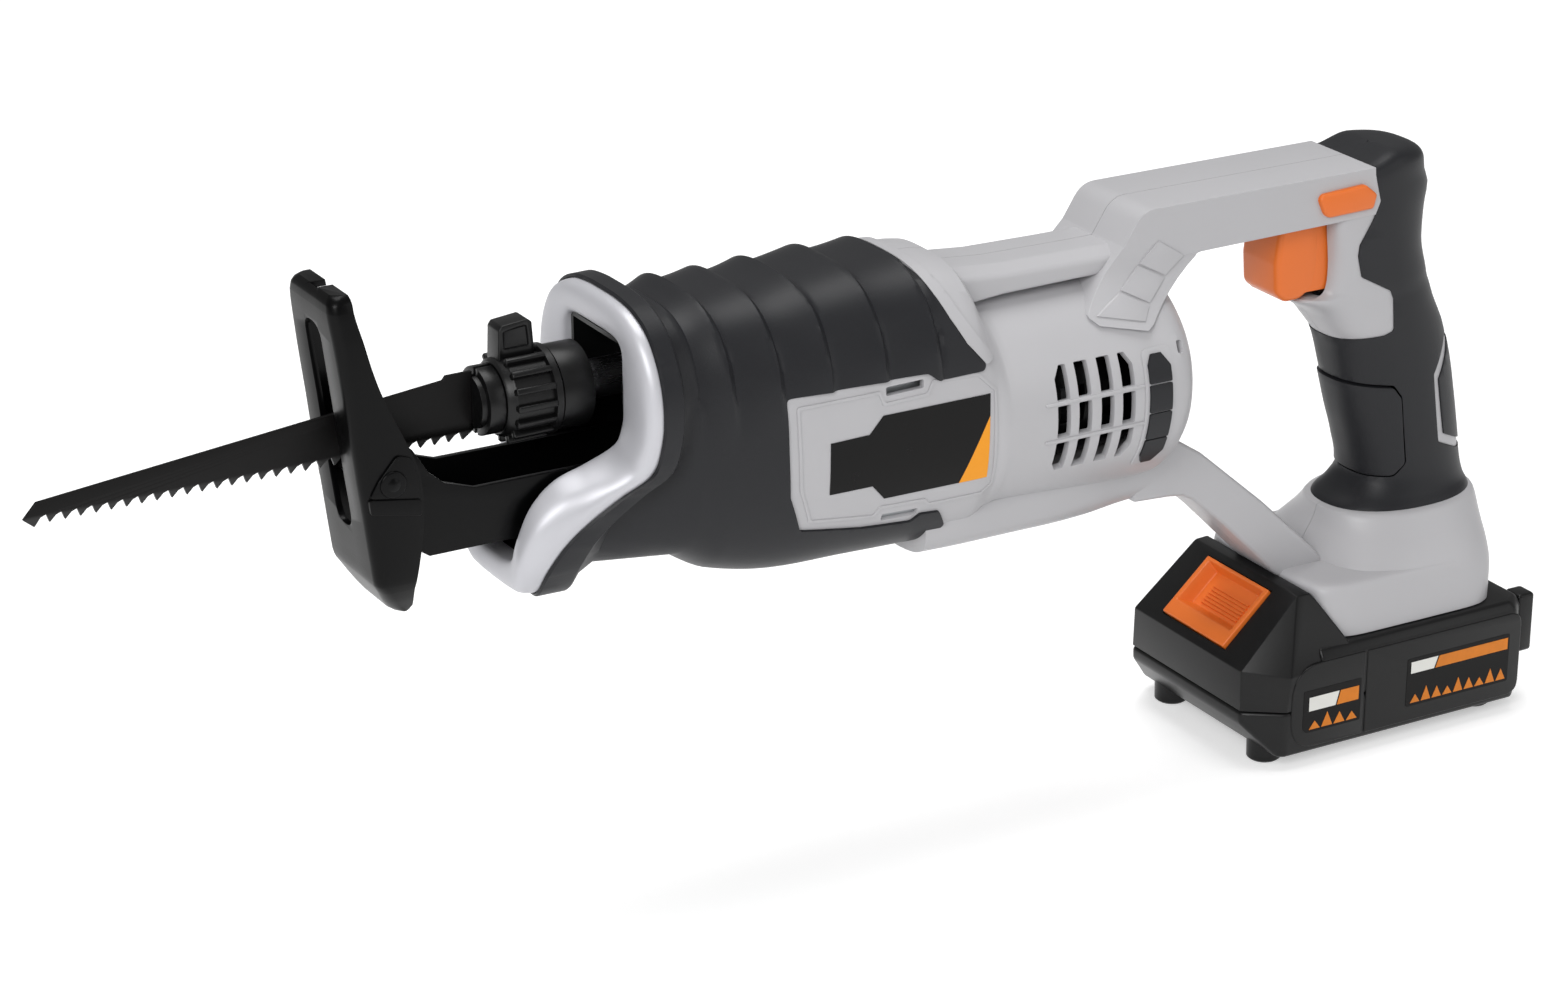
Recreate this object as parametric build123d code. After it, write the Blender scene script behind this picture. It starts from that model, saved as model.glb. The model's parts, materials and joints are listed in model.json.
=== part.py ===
from build123d import *
from math import cos, pi, radians, sin, tan
import os

# Cordless reciprocating saw with a D-handle and a slide-on battery pack.
# Millimetres. +Z is up and the floor under the pack's feet is z = 0. The blade points along -X and
# the grip is at +X. While the pieces are drawn, x = 0 is the drive gear's axis; at the end every
# piece is shifted so that the origin lies under the middle of the overall length.

# ---------------------------------------------------------------- driving dimensions
PLUNGER_Z = 171.3          # height of the plunger's axis
MOTOR_Z = 141.0            # height of the motor's axis
RUN_GAP = 0.05             # running clearance of a shaft in its bush, on the radius
SLIP_GAP = 0.4             # clearance round a sliding plastic piece
SEAT_GAP = 0.3             # air between pieces of different bodies

BLADE_TIP_X = -245.7
BLADE_HEEL_X = -105.5      # where the blade's wide part ends
BLADE_T = 1.25
BLADE_TEETH_Z = 160.0      # tooth points at the tip end
BLADE_TIP_H = 6.6
BLADE_HEEL_H = 20.0
TOOTH_PITCH = 4.6
TOOTH_DEPTH = 2.6
TANG_H = 10.0
TANG_L = 19.5

STROKE = 22.0
ROD_R = 6.0
TAIL_R = 4.0
CRANK_R = STROKE / 2
ROLLER_R = 4.5
CRANK_PIN_R = 3.2
YOKE_WALL = 4.5
YOKE_Y = 18.5              # half-length of the yoke across the saw
YOKE_H = 12.6
# a constant-ratio coupling differs from the true crank by at most this share of the crank radius
CRANK_LAG = 0.2105
SLOT_HALF = ROLLER_R + CRANK_LAG * CRANK_R + SLIP_GAP

GEAR_TEETH = 40
PINION_TEETH = 9
MODULE = 1.2
GEAR_R = 27.0
GEAR_FACE_IN_R = 21.5
GEAR_BODY_H = 8.6
GEAR_HUB_R = 8.0
AXLE_R = 4.0
PINION_R = PINION_TEETH * MODULE / 2
ADDENDUM = MODULE
DEDENDUM = 1.25 * MODULE
TOOTH_ANGLE = 20.0
TOOTH_W = 0.36 * pi * MODULE  # tooth width on the pitch line; the rest of the pitch is backlash

BOOT_WALL = 2.7
SHELL_WALL = 2.3
CASE_WALL = 2.5
# stations of the main body: x, half-width, top and bottom height, corner radius
BODY_STATIONS = [
    (-52.0, 33.0, 195.0, 117.0, 22.0),
    (-38.0, 34.5, 196.0, 109.0, 24.0),
    (-16.0, 36.0, 195.0, 101.0, 26.0),
    (10.0, 36.5, 196.5, 100.0, 27.0),
    (44.0, 36.5, 195.0, 99.0, 27.0),
]
BOOT_REAR_X = 44.0
CASE_FRONT_X = -46.0
CASE_REAR_X = 43.0
CASE_END_WALL = 11.0

RIM_FRONT_X = -60.0
RIM_T = 8.0
BEZEL_FACE_X = -64.5
MOUTH_Y = 17.0             # half-width of the nose opening
MOUTH_TOP_Z = 187.5
MOUTH_LOW_Z = 131.2
GUARD_T = 1.4

BARREL_R = 36.5
BARREL_WALL = 2.5
BARREL_END_X = 124.0
CAP_END_X = 138.0
CAP_END_R = 25.0
LABEL_T = 0.5
STRUT_Y = 15.0
STRUT_TOP_Z = 187.0
STRUT_LOW_Z = 179.0
HANDLE_Y = 17.5
HANDLE_TOP_Z = 198.5
BEAM_LOW_Z = 182.0
GRIP_Y = 17.0
GRIP_SKIN = 2.2
LOWER_STRUT_Y = 12.0
FOOT_TOP_Z = 59.5
FOOT_LOW_Z = 41.5
FOOT_X0, FOOT_X1, FOOT_Y = 186.0, 268.0, 36.0

BRACKET_Y = 14.5           # outer half-width of the shoe bracket
SHEET_T = 2.0
BRACKET_LOW_Z = 131.6
BRACKET_TOP_Z = 150.0
BRACKET_FLANGE_X = -46.2
PIVOT_X, PIVOT_Z = -140.0, 158.0
PIVOT_PIN_R = 2.5
SHOE_Y = 17.3
SHOE_TOP_Z = 215.0
SHOE_SLOT_W = 11.0
SHOE_SLOT_Z0, SHOE_SLOT_Z1 = 141.0, 206.0

COLLAR_R = 14.2
COLLAR_X0, COLLAR_X1 = -99.0, -81.4
HUB_R = 9.4
HUB_REAR_R = 13.0
HUB_REAR_X0, HUB_REAR_X1 = -81.0, -71.0
CAP_R = 10.6
CAP_X0 = -106.0
COLLAR_RIBS = 16

CAN_R = 24.5
CAN_WALL = 1.8
CAN_X0, CAN_X1 = 57.0, 118.0
SHAFT_R = 2.5
ARMATURE_R = 16.5
MAGNET_IN_R = 17.2
FAN_X0, FAN_X1, FAN_R = 46.5, 54.5, 22.0
FRONT_BEARING_X0, FRONT_BEARING_X1, FRONT_BEARING_R = 33.0, 40.0, 9.5
REAR_BEARING_X0, REAR_BEARING_X1, REAR_BEARING_R = 115.5, 121.0, 8.0

TRIGGER_Y = 10.0
TRIGGER_TRAVEL = 6.0
LATCH_TRAVEL = 3.0

PACK_X0, PACK_X1, PACK_Y = 158.5, 274.0, 41.0
PACK_LOW_Z, PACK_SEAM_Z, PACK_TOP_Z = 5.0, 21.5, 41.2
PACK_WALL = 2.0
PACK_CUT_L, PACK_CUT_H = 10.5, 12.0  # sloped underside at the pack's front
HUMP_Y = 33.5
HUMP_TOP_Z = 58.0
HUMP_X1 = 185.5
RAIL_X0, RAIL_X1 = 190.0, 248.0
RAIL_NECK_Y, RAIL_FLANGE_Y = 19.5, 26.0
RAIL_FLANGE_Z0, RAIL_FLANGE_Z1 = 46.2, 50.2
CELL_R, CELL_L, CELL_COUNT, CELL_PITCH = 9.2, 65.0, 5, 19.2
PACK_SCREW_Y = 36.7
BUMPER_X1 = 281.0

SHIFT_X = -(BLADE_TIP_X + BUMPER_X1) / 2
BIG = 200.0                # half-size of a cutting block

pieces = {}


def keep(name, shape):
    """Hold a finished piece under its node name."""
    pieces[name] = shape


def block(x0, x1, y0, y1, z0, z1):
    """A box between two corners."""
    centre = Pos((x0 + x1) / 2, (y0 + y1) / 2, (z0 + z1) / 2)
    return centre * Box(x1 - x0, y1 - y0, z1 - z0)


def rod_x(radius, x0, x1, y=0.0, z=PLUNGER_Z):
    """A round bar along X."""
    return Pos((x0 + x1) / 2, y, z) * Rot(0, 90, 0) * Cylinder(radius, x1 - x0)


def rod_y(radius, y0, y1, x, z):
    """A round bar along Y."""
    return Pos(x, (y0 + y1) / 2, z) * Rot(90, 0, 0) * Cylinder(radius, y1 - y0)


def rod_z(radius, z0, z1, x=0.0, y=0.0):
    """A round bar along Z."""
    return Pos(x, y, (z0 + z1) / 2) * Cylinder(radius, z1 - z0)


def ring_x(outer, inner, x0, x1, y=0.0, z=PLUNGER_Z):
    """A bush along X."""
    return rod_x(outer, x0, x1, y, z) - rod_x(inner, x0 - 1, x1 + 1, y, z)


def slab(points, y0, y1, radius=None):
    """A side outline of (x, z) points, made solid from y0 to y1."""
    if radius is None:
        line = Polyline(*points, close=True)
    else:
        line = FilletPolyline(*points, radius=radius, close=True)
    face = make_face(Plane.XZ * line)
    return Pos(0, y0, 0) * extrude(face, amount=y1 - y0, dir=(0, 1, 0))


def both_sides(points, half, radius=None):
    """A side outline made solid across the centre plane."""
    return slab(points, -half, half, radius)


def front_outline(points, x0, x1):
    """A front outline of (y, z) points on the +Y side, mirrored and made solid from x0 to x1."""
    left = [(-y, z) for y, z in reversed(points) if y > 0]
    face = make_face(Plane.YZ * Polyline(*points, *left, close=True))
    return Pos(x0, 0, 0) * extrude(face, amount=x1 - x0, dir=(1, 0, 0))


def mirrored(shape):
    """A piece and its copy on the other side of the centre plane."""
    return shape + mirror(shape, about=Plane.XZ)


def group(shapes):
    """Separate solids kept together in one node."""
    return Compound([solid for shape in shapes for solid in shape.solids()])


# ---------------------------------------------------------------- main body sections
def station_at(x):
    """Half-width, top, bottom and corner radius of the main body at x."""
    first, last = BODY_STATIONS[0], BODY_STATIONS[-1]
    if x <= first[0]:
        return first[1:]
    for a, b in zip(BODY_STATIONS, BODY_STATIONS[1:]):
        if x <= b[0]:
            share = (x - a[0]) / (b[0] - a[0])
            return tuple(p + share * (q - p) for p, q in zip(a[1:], b[1:]))
    return last[1:]


def body_section(x, inset):
    """The main body's rounded section at x, drawn in by inset."""
    half, top, low, corner = station_at(x)
    shape = RectangleRounded(2 * (half - inset), top - low - 2 * inset, corner - inset)
    return Plane(origin=(x, 0, (top + low) / 2), x_dir=(0, 1, 0), z_dir=(1, 0, 0)) * shape


def main_body(x0, x1, inset):
    """The main body between x0 and x1, drawn in by inset."""
    xs = [x0] + [s[0] for s in BODY_STATIONS if x0 < s[0] < x1] + [x1]
    solid = None
    for a, b in zip(xs, xs[1:]):
        part = loft([body_section(a, inset), body_section(b, inset)], ruled=True)
        solid = part if solid is None else solid + part
    return solid


# ---------------------------------------------------------------- side outlines of the shell
HANDLE_OUTLINE = [
    (104.0, 158.0), (101.6, 166.8), (114.4, 189.2), (122.0, HANDLE_TOP_Z), (214.0, HANDLE_TOP_Z),
    (232.0, 197.0), (241.0, 193.0), (245.0, 188.0), (243.5, 170.0), (250.0, 150.0),
    (258.0, 132.0), (263.0, 110.0), (266.0, 90.0), (269.5, 74.0), (215.0, 74.0), (224.7, 85.0),
    (216.0, 109.0), (208.5, 137.0), (204.0, 140.0), (198.0, 150.0), (190.0, 155.0),
    (194.0, 156.5), (199.0, 168.0), (197.0, BEAM_LOW_Z), (144.0, BEAM_LOW_Z - 1.0),
    (123.6, 160.6), (123.6, 158.0),
]
# where the grip's soft skin covers the shell
SKIN_REGION = [
    (214.0, 205.0), (216.0, 186.0), (209.0, 172.0), (212.0, 160.0), (225.0, 152.0),
    (227.0, 137.0), (200.0, 137.0), (205.0, 66.0), (280.0, 66.0), (280.0, 205.0),
]
GRIP_CORE = [
    (214.0, HANDLE_TOP_Z - GRIP_SKIN), (231.0, 194.8), (239.0, 191.2), (242.8, 187.0),
    (241.3, 170.0), (247.8, 149.6), (255.7, 131.6), (260.8, 109.6), (263.7, 90.0), (266.6, 74.0),
    (221.0, 74.0), (227.2, 85.4), (218.2, 109.6), (210.7, 137.4), (208.0, 141.0), (209.0, 186.0),
]
INSERT_REGION = [(262.0, 132.0), (253.0, 130.0), (247.9, 120.0), (251.4, 95.0), (262.0, 91.4),
                 (272.0, 91.0), (272.0, 132.0)]
LOWER_STRUT = [
    (118.0, 104.0), (138.0, 120.0), (142.0, 116.0), (153.0, 109.0), (179.0, 86.0),
    (198.5, 64.0), (206.0, FOOT_TOP_Z - 1.0), (187.5, FOOT_TOP_Z - 1.0), (163.0, 81.0),
    (148.0, 94.0), (120.0, 97.0), (90.0, 97.5), (64.0, 100.0), (64.0, 112.0), (100.0, 112.0),
]
PANEL_WINDOW = [(-18.0, 166.3), (-17.0, 135.0), (-12.4, 122.5), (10.0, 119.0), (39.0, 117.0),
                (60.0, 117.0), (60.0, 164.6), (50.0, 164.6)]


def shell_outside():
    """Everything the two clamshells cover, before they are hollowed."""
    barrel = rod_x(BARREL_R, BOOT_REAR_X - 2, BARREL_END_X, 0, MOTOR_Z)
    cap_l = CAP_END_X - BARREL_END_X
    cap = Pos(BARREL_END_X + cap_l / 2, 0, MOTOR_Z) * Rot(0, 90, 0) * Cone(BARREL_R, CAP_END_R, cap_l)
    front = main_body(CASE_FRONT_X + 2, BOOT_REAR_X, BOOT_WALL)
    pads = both_sides(PANEL_WINDOW, BARREL_R) & block(-20, 52, -BIG, BIG, 110, 170)
    shoulder = block(BOOT_REAR_X - 3, 60, -STRUT_Y, STRUT_Y, 165, STRUT_TOP_Z)
    strut = block(56, 124, -STRUT_Y, STRUT_Y, STRUT_LOW_Z, STRUT_TOP_Z)
    handle = both_sides(HANDLE_OUTLINE, HANDLE_Y)
    low = both_sides(LOWER_STRUT, LOWER_STRUT_Y)
    foot = block(FOOT_X0, FOOT_X1, -FOOT_Y, FOOT_Y, FOOT_LOW_Z, FOOT_TOP_Z)
    foot_top = loft([Pos(237, 0, FOOT_TOP_Z) * RectangleRounded(60, 62, 10),
                     Pos(242, 0, 74) * RectangleRounded(54, 2 * GRIP_Y, 10)], ruled=True)
    return barrel + cap + front + pads + shoulder + strut + handle + low + foot + foot_top


def shell_hollow():
    """The space inside the clamshells."""
    wall = SHELL_WALL
    front = main_body(CASE_FRONT_X + 1, CASE_REAR_X + 1, BOOT_WALL + wall)
    barrel = rod_x(BARREL_R - BARREL_WALL, BOOT_REAR_X, BARREL_END_X - 1, 0, MOTOR_Z)
    cap_l = CAP_END_X - BARREL_END_X - wall + 1
    cap = Pos(BARREL_END_X - 1 + cap_l / 2, 0, MOTOR_Z) * Rot(0, 90, 0) * Cone(
        BARREL_R - BARREL_WALL, CAP_END_R - wall, cap_l)
    tail = block(BOOT_REAR_X - 1, 56.5, -7, 7, 160, 180)
    beam = block(124, 214, -HANDLE_Y + wall, HANDLE_Y - wall, BEAM_LOW_Z + wall, HANDLE_TOP_Z - wall)
    leg = both_sides([(113.0, 165.0), (121.0, 165.0), (137.0, 184.3), (128.0, 194.0), (122.0, 190.0),
                      (110.0, 169.0)], HANDLE_Y - wall)
    neck = both_sides([(201.5, 184.3), (202.0, 168.0), (200.0, 158.0), (203.0, 152.0), (211.5, 141.0),
                       (252.0, 134.0), (245.4, 149.0), (238.6, 170.0), (240.0, 186.0),
                       (236.0, 190.0), (213.0, 196.2), (201.5, 196.2)], GRIP_Y - GRIP_SKIN - wall)
    grip = both_sides([(213.0, 143.0), (220.6, 110.0), (229.5, 86.0), (227.0, 53.0), (262.0, 53.0),
                       (261.0, 90.0), (258.0, 109.0), (252.0, 136.0)], GRIP_Y - GRIP_SKIN - wall)
    low = both_sides([(122.0, 106.0), (139.0, 113.0), (152.0, 105.0), (178.0, 82.0), (192.0, 66.0),
                      (164.0, 84.0), (148.5, 97.0)], LOWER_STRUT_Y - wall)
    rails = block(FOOT_X0 - 1, FOOT_X1 - 4, -27.0, 27.0, RAIL_FLANGE_Z0 - SLIP_GAP, 53.0)
    mouth = block(FOOT_X0 - 1, FOOT_X1 - 4, -RAIL_NECK_Y - SLIP_GAP, RAIL_NECK_Y + SLIP_GAP,
                  FOOT_LOW_Z - 1, 53.0)
    return front + barrel + cap + tail + beam + leg + neck + grip + low + rails + mouth


def vent_slots():
    """Cooling slots: four columns by three rows on each side of the barrel."""
    columns = [78.9, 86.9, 95.3, 103.4]
    rows = [(148.5, 157.6), (136.4, 146.2), (125.0, 133.2)]
    cuts = None
    for x in columns:
        for z0, z1 in rows:
            cut = block(x, x + 4.6, -BIG, BIG, z0, z1)
            cuts = cut if cuts is None else cuts + cut
    return cuts


def lock_button_shape(extra=0.0):
    """The cross-bolt's side outline, grown by extra."""
    points = [(190.7, 192.7), (209.3, 193.7), (214.3, 189.8), (213.0, 184.9), (197.5, 184.4)]
    face = make_face(Plane.XZ * Polyline(*points, close=True))
    if extra > 0:
        face = offset(face, amount=extra, kind=Kind.INTERSECTION)
    half = HANDLE_Y + 1.8
    return Pos(0, -half, 0) * extrude(face, amount=2 * half, dir=(0, 1, 0))


TRIGGER_OUTLINE = [(178.5, 183.6), (177.5, 178.0), (176.5, 166.0), (179.0, 157.8), (185.0, 156.0),
                   (192.0, 157.6), (202.0, 160.0), (202.0, 183.6)]


def make_housing():
    """Two clamshells with their ribs, seats, vents and openings."""
    grip_core = both_sides(GRIP_CORE, GRIP_Y - GRIP_SKIN)
    outside = shell_outside() - (both_sides(SKIN_REGION, BIG) & block(200, 280, -BIG, BIG, 74, 205))
    outside = outside + grip_core
    shell = outside - shell_hollow() - vent_slots()
    ribs = ring_x(BARREL_R - BARREL_WALL + 0.5, CAN_R, 60, 63, 0, MOTOR_Z)
    ribs += ring_x(BARREL_R - BARREL_WALL + 0.5, CAN_R, 111.5, 114.5, 0, MOTOR_Z)
    shell += ribs - block(58, 116, -9, 9, MOTOR_Z + CAN_R, MOTOR_Z + BARREL_R - BARREL_WALL + 1)
    gap = SLIP_GAP
    trigger_way = block(174, 202 + TRIGGER_TRAVEL + 3, -TRIGGER_Y - gap, TRIGGER_Y + gap, 156.6, 184.4)
    trigger_way += block(174, 196, -TRIGGER_Y - gap, TRIGGER_Y + gap, 150.0, 184.4)
    shell -= trigger_way & block(174, 214, -BIG, BIG, 155.0, 185.0)
    shell -= lock_button_shape(gap)
    shell -= block(210.5, 237.5, -9.0, 9.0, 151.5, 181.5)      # seat of the switch
    shell -= block(249.5, FOOT_X1 - 3.9, -18.0, 18.0, 43.0, 55.0)  # seat of the terminal block
    for x, z, half in SCREW_PLACES:
        shell += rod_y(3.6, -half + 1.0, half - 1.0, x, z) & outside
    for x, z, half in SCREW_PLACES:
        shell -= rod_y(3.2, -half - 5, -half + 2.4, x, z)
        shell -= rod_y(1.5, -half, half - 3.0, x, z)
    left = shell & block(-BIG, 2 * BIG, -BIG, 0, -5, 2 * BIG)
    right = shell & block(-BIG, 2 * BIG, 0, BIG, -5, 2 * BIG)
    keep("housing_left", biggest(left))
    keep("housing_right", biggest(right))


def biggest(shape):
    """The largest solid of a shape."""
    return max(shape.solids(), key=lambda solid: solid.volume)


# x, z and half-width of the shell at each clamshell screw
SCREW_PLACES = [(128.0, 178.0, HANDLE_Y), (166.0, 190.3, HANDLE_Y), (232.0, 186.5, GRIP_Y - GRIP_SKIN),
                (232.0, 105.0, GRIP_Y - GRIP_SKIN), (146.0, 103.0, LOWER_STRUT_Y),
                (176.0, 78.5, LOWER_STRUT_Y)]


def make_housing_screws():
    """Pan-head screws that close the clamshells, driven from the left."""
    screws = []
    for x, z, half in SCREW_PLACES:
        head = rod_y(2.9, -half + 0.2, -half + 2.4, x, z) - rod_y(1.1, -half, -half + 1.4, x, z)
        shank = rod_y(1.45, -half + 2.4, half - 3.2, x, z)
        screws.append(head + shank)
    keep("housing_screws", group(screws))


def make_boot():
    """Rubber overmould round the gearbox end, open at the sides for the shell's panels."""
    outer = main_body(RIM_FRONT_X + RIM_T - 0.5, BOOT_REAR_X, 0)
    rim = front_outline(NOSE_OUTLINE, RIM_FRONT_X, RIM_FRONT_X + RIM_T)
    core = main_body(CASE_FRONT_X + 2, BOOT_REAR_X + 1, BOOT_WALL)
    case = main_body(CASE_FRONT_X, CASE_FRONT_X + 3, BOOT_WALL + SHELL_WALL)
    boot = outer + rim - core - case
    window = both_sides(PANEL_WINDOW, BIG)
    boot -= window & (block(-20, 60, -BIG, -25, 110, 170) + block(-20, 60, 25, BIG, 110, 170))
    boot -= block(BOOT_REAR_X - 3.5, 60, -STRUT_Y, STRUT_Y, 165, STRUT_TOP_Z)
    boot -= block(RIM_FRONT_X - 30, CASE_FRONT_X + 1, -MOUTH_Y, MOUTH_Y, MOUTH_LOW_Z, MOUTH_TOP_Z)
    keep("front_boot", biggest(boot))


# front view of the nose on the +Y side, from the top down
NOSE_OUTLINE = [(0.0, 200.0), (14.0, 199.6), (24.0, 196.5), (32.0, 190.0), (37.0, 180.0), (38.5, 170.0),
                (37.5, 161.0), (33.0, 150.0), (28.0, 140.0), (24.5, 128.0), (22.0, 117.0),
                (16.0, 112.5), (0.0, 112.0)]
NOSE_SIDE = [(BEZEL_FACE_X, 202.0), (BEZEL_FACE_X, 163.0), (-66.6, 157.3), (-80.5, 151.7), (-91.0, 149.0),
             (-98.0, 143.0), (-102.0, 131.7), (-101.0, 122.0), (-96.0, 114.0), (-90.0, 110.0),
             (-78.0, 111.0), (-70.0, 119.0), (RIM_FRONT_X, 122.0), (RIM_FRONT_X, 202.0)]


def make_nose():
    """Silver bezel with its swept chin, and the black guard that lines the mouth."""
    solid = both_sides(NOSE_SIDE, 40) & front_outline(NOSE_OUTLINE, -110, RIM_FRONT_X)
    mouth = block(-110, CASE_FRONT_X, -MOUTH_Y, MOUTH_Y, MOUTH_LOW_Z, MOUTH_TOP_Z)
    keep("nose_bezel", biggest(solid - mouth))
    liner = block(-92, CASE_FRONT_X, -MOUTH_Y, MOUTH_Y, MOUTH_LOW_Z + 0.2, MOUTH_TOP_Z)
    inner = MOUTH_Y - GUARD_T
    liner -= block(-94, CASE_FRONT_X + 1, -inner, inner, MOUTH_LOW_Z - 1, MOUTH_TOP_Z - GUARD_T)
    shape = [(-90.0, 146.0), (-66.0, 154.0), (BEZEL_FACE_X + 1, 162.0), (BEZEL_FACE_X + 1, 190.0),
             (CASE_FRONT_X, 190.0), (CASE_FRONT_X, 133.0), (-90.0, 133.0)]
    keep("nose_guard", biggest(liner & both_sides(shape, 20)))


# ---------------------------------------------------------------- gearcase and drive train
GEAR_UNDER_Z = MOTOR_Z + PINION_R + DEDENDUM + 0.3
GEAR_TOP_Z = GEAR_UNDER_Z + GEAR_BODY_H
HUB_LOW_Z = 140.0
BUSH_R = 9.0
REAR_BUSH_R = 7.0
YOKE_HALF = SLOT_HALF + YOKE_WALL
REAR_BUSH_X0 = YOKE_HALF + CRANK_R + 0.8
REAR_BUSH_X1 = REAR_BUSH_X0 + 8.0
FRONT_BUSH_X0, FRONT_BUSH_X1 = -43.0, -YOKE_HALF - CRANK_R - 1.5
TAIL_END_X = REAR_BUSH_X1 + CRANK_R + 0.5
CLIP_GROOVE_Z = GEAR_TOP_Z + 0.3
CASE_SCREWS = [(-36.0, 22.0), (-36.0, -22.0), (37.5, 22.0), (37.5, -22.0)]


def make_gearcase():
    """Die-cast case split on the plunger's axis, with boss, end walls and bearing seats."""
    inset = BOOT_WALL + SHELL_WALL
    outer = main_body(CASE_FRONT_X, CASE_REAR_X, inset)
    hollow = main_body(CASE_FRONT_X + CASE_WALL + 1, CASE_REAR_X - CASE_END_WALL, inset + CASE_WALL)
    front_boss = rod_x(BUSH_R + 3.0, CASE_FRONT_X, FRONT_BUSH_X1)
    rear_boss = rod_x(REAR_BUSH_R + 3.0, REAR_BUSH_X0, CASE_REAR_X - 1)
    axle_boss = rod_z(9.0, 104.5, HUB_LOW_Z - 0.8)
    screw_pads = block(CASE_FRONT_X + 1, -30.0, -15, 15, 131.0, 148.0)
    case = outer - hollow + front_boss + rear_boss + (axle_boss & outer) + screw_pads
    for x, y in CASE_SCREWS:
        case += rod_z(4.0, PLUNGER_Z - 12, PLUNGER_Z + 10, x, y) & outer
    case -= rod_x(ROD_R + 1.0, CASE_FRONT_X - 1, FRONT_BUSH_X1 + 1)
    case -= rod_x(BUSH_R, FRONT_BUSH_X0, FRONT_BUSH_X1 + 1)
    case -= rod_x(BUSH_R, CASE_FRONT_X - 1, FRONT_BUSH_X0 + 0.01)
    case -= rod_x(REAR_BUSH_R, REAR_BUSH_X0 - 1, REAR_BUSH_X1)
    case -= rod_x(TAIL_R + 0.8, REAR_BUSH_X1 - 1, CASE_REAR_X + 1)
    case -= rod_x(FRONT_BEARING_R, FRONT_BEARING_X0, FRONT_BEARING_X1, 0, MOTOR_Z)
    case -= rod_x(SHAFT_R + 2.0, FRONT_BEARING_X0 - 5, CASE_REAR_X + 1, 0, MOTOR_Z)
    case -= rod_z(AXLE_R, 110.0, HUB_LOW_Z + 5)
    for y in (-8.0, 8.0):
        case -= rod_x(1.6, CASE_FRONT_X - 1, -34.0, y, 141.0)
    for x, y in CASE_SCREWS:
        case -= rod_z(1.55, PLUNGER_Z - 10.5, PLUNGER_Z + 30, x, y)
        case -= rod_z(3.3, PLUNGER_Z + 6, PLUNGER_Z + 30, x, y)
    keep("gearcase_lower", biggest(case & block(-BIG, BIG, -BIG, BIG, 0, PLUNGER_Z)))
    keep("gearcase_upper", biggest(case & block(-BIG, BIG, -BIG, BIG, PLUNGER_Z, 2 * BIG)))
    screws = []
    for x, y in CASE_SCREWS:
        head = rod_z(2.9, PLUNGER_Z + 6, PLUNGER_Z + 9, x, y)
        head -= rod_z(1.2, PLUNGER_Z + 7.2, PLUNGER_Z + 10, x, y)
        screws.append(head + rod_z(1.5, PLUNGER_Z - 10, PLUNGER_Z + 6, x, y))
    keep("gearcase_screws", group(screws))


def make_bushes():
    """Bushes, seal and bearings fixed in the gearcase and the motor."""
    keep("plunger_front_bush", ring_x(BUSH_R, ROD_R + RUN_GAP, FRONT_BUSH_X0, FRONT_BUSH_X1))
    keep("plunger_rear_bush", ring_x(REAR_BUSH_R, TAIL_R + RUN_GAP, REAR_BUSH_X0, REAR_BUSH_X1))
    keep("plunger_seal", ring_x(BUSH_R, ROD_R + 0.08, CASE_FRONT_X + 0.3, FRONT_BUSH_X0))
    keep("front_bearing", ring_x(FRONT_BEARING_R, SHAFT_R + RUN_GAP, FRONT_BEARING_X0, FRONT_BEARING_X1,
                                 0, MOTOR_Z))
    keep("rear_bearing", ring_x(REAR_BEARING_R, SHAFT_R + RUN_GAP, REAR_BEARING_X0, REAR_BEARING_X1,
                                0, MOTOR_Z))
    groove = rod_z(AXLE_R + 1, CLIP_GROOVE_Z, CLIP_GROOVE_Z + 1.0)
    groove -= rod_z(AXLE_R - 1, CLIP_GROOVE_Z - 1, CLIP_GROOVE_Z + 2)
    keep("gear_axle", rod_z(AXLE_R, 110.0, CLIP_GROOVE_Z + 3.0) - groove)
    washer = rod_z(7.6, HUB_LOW_Z - 0.8, HUB_LOW_Z - 0.1) - rod_z(AXLE_R + 0.1, 130, 150)
    keep("thrust_washer", washer)
    clip = rod_z(6.2, CLIP_GROOVE_Z + 0.1, CLIP_GROOVE_Z + 0.9) - rod_z(AXLE_R - 0.9, 140, 180)
    keep("axle_clip", biggest(clip - block(0, 8, -1.4, 1.4, 140, 180)))


def gear_tooth(angle):
    """One face tooth of the drive gear, pointing down."""
    slope = tan(radians(TOOTH_ANGLE))
    root = TOOTH_W / 2 + (DEDENDUM + 0.3) * slope
    tip = TOOTH_W / 2 - ADDENDUM * slope
    low = GEAR_UNDER_Z - DEDENDUM - 0.3 - ADDENDUM
    points = [(-root, GEAR_UNDER_Z + 0.5), (root, GEAR_UNDER_Z + 0.5), (root, GEAR_UNDER_Z),
              (tip, low), (-tip, low), (-root, GEAR_UNDER_Z)]
    face = make_face(Plane.YZ * Polyline(*points, close=True))
    tooth = Pos(GEAR_FACE_IN_R, 0, 0) * extrude(face, amount=GEAR_R - 0.6 - GEAR_FACE_IN_R, dir=(1, 0, 0))
    return Rot(0, 0, angle) * tooth


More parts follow.
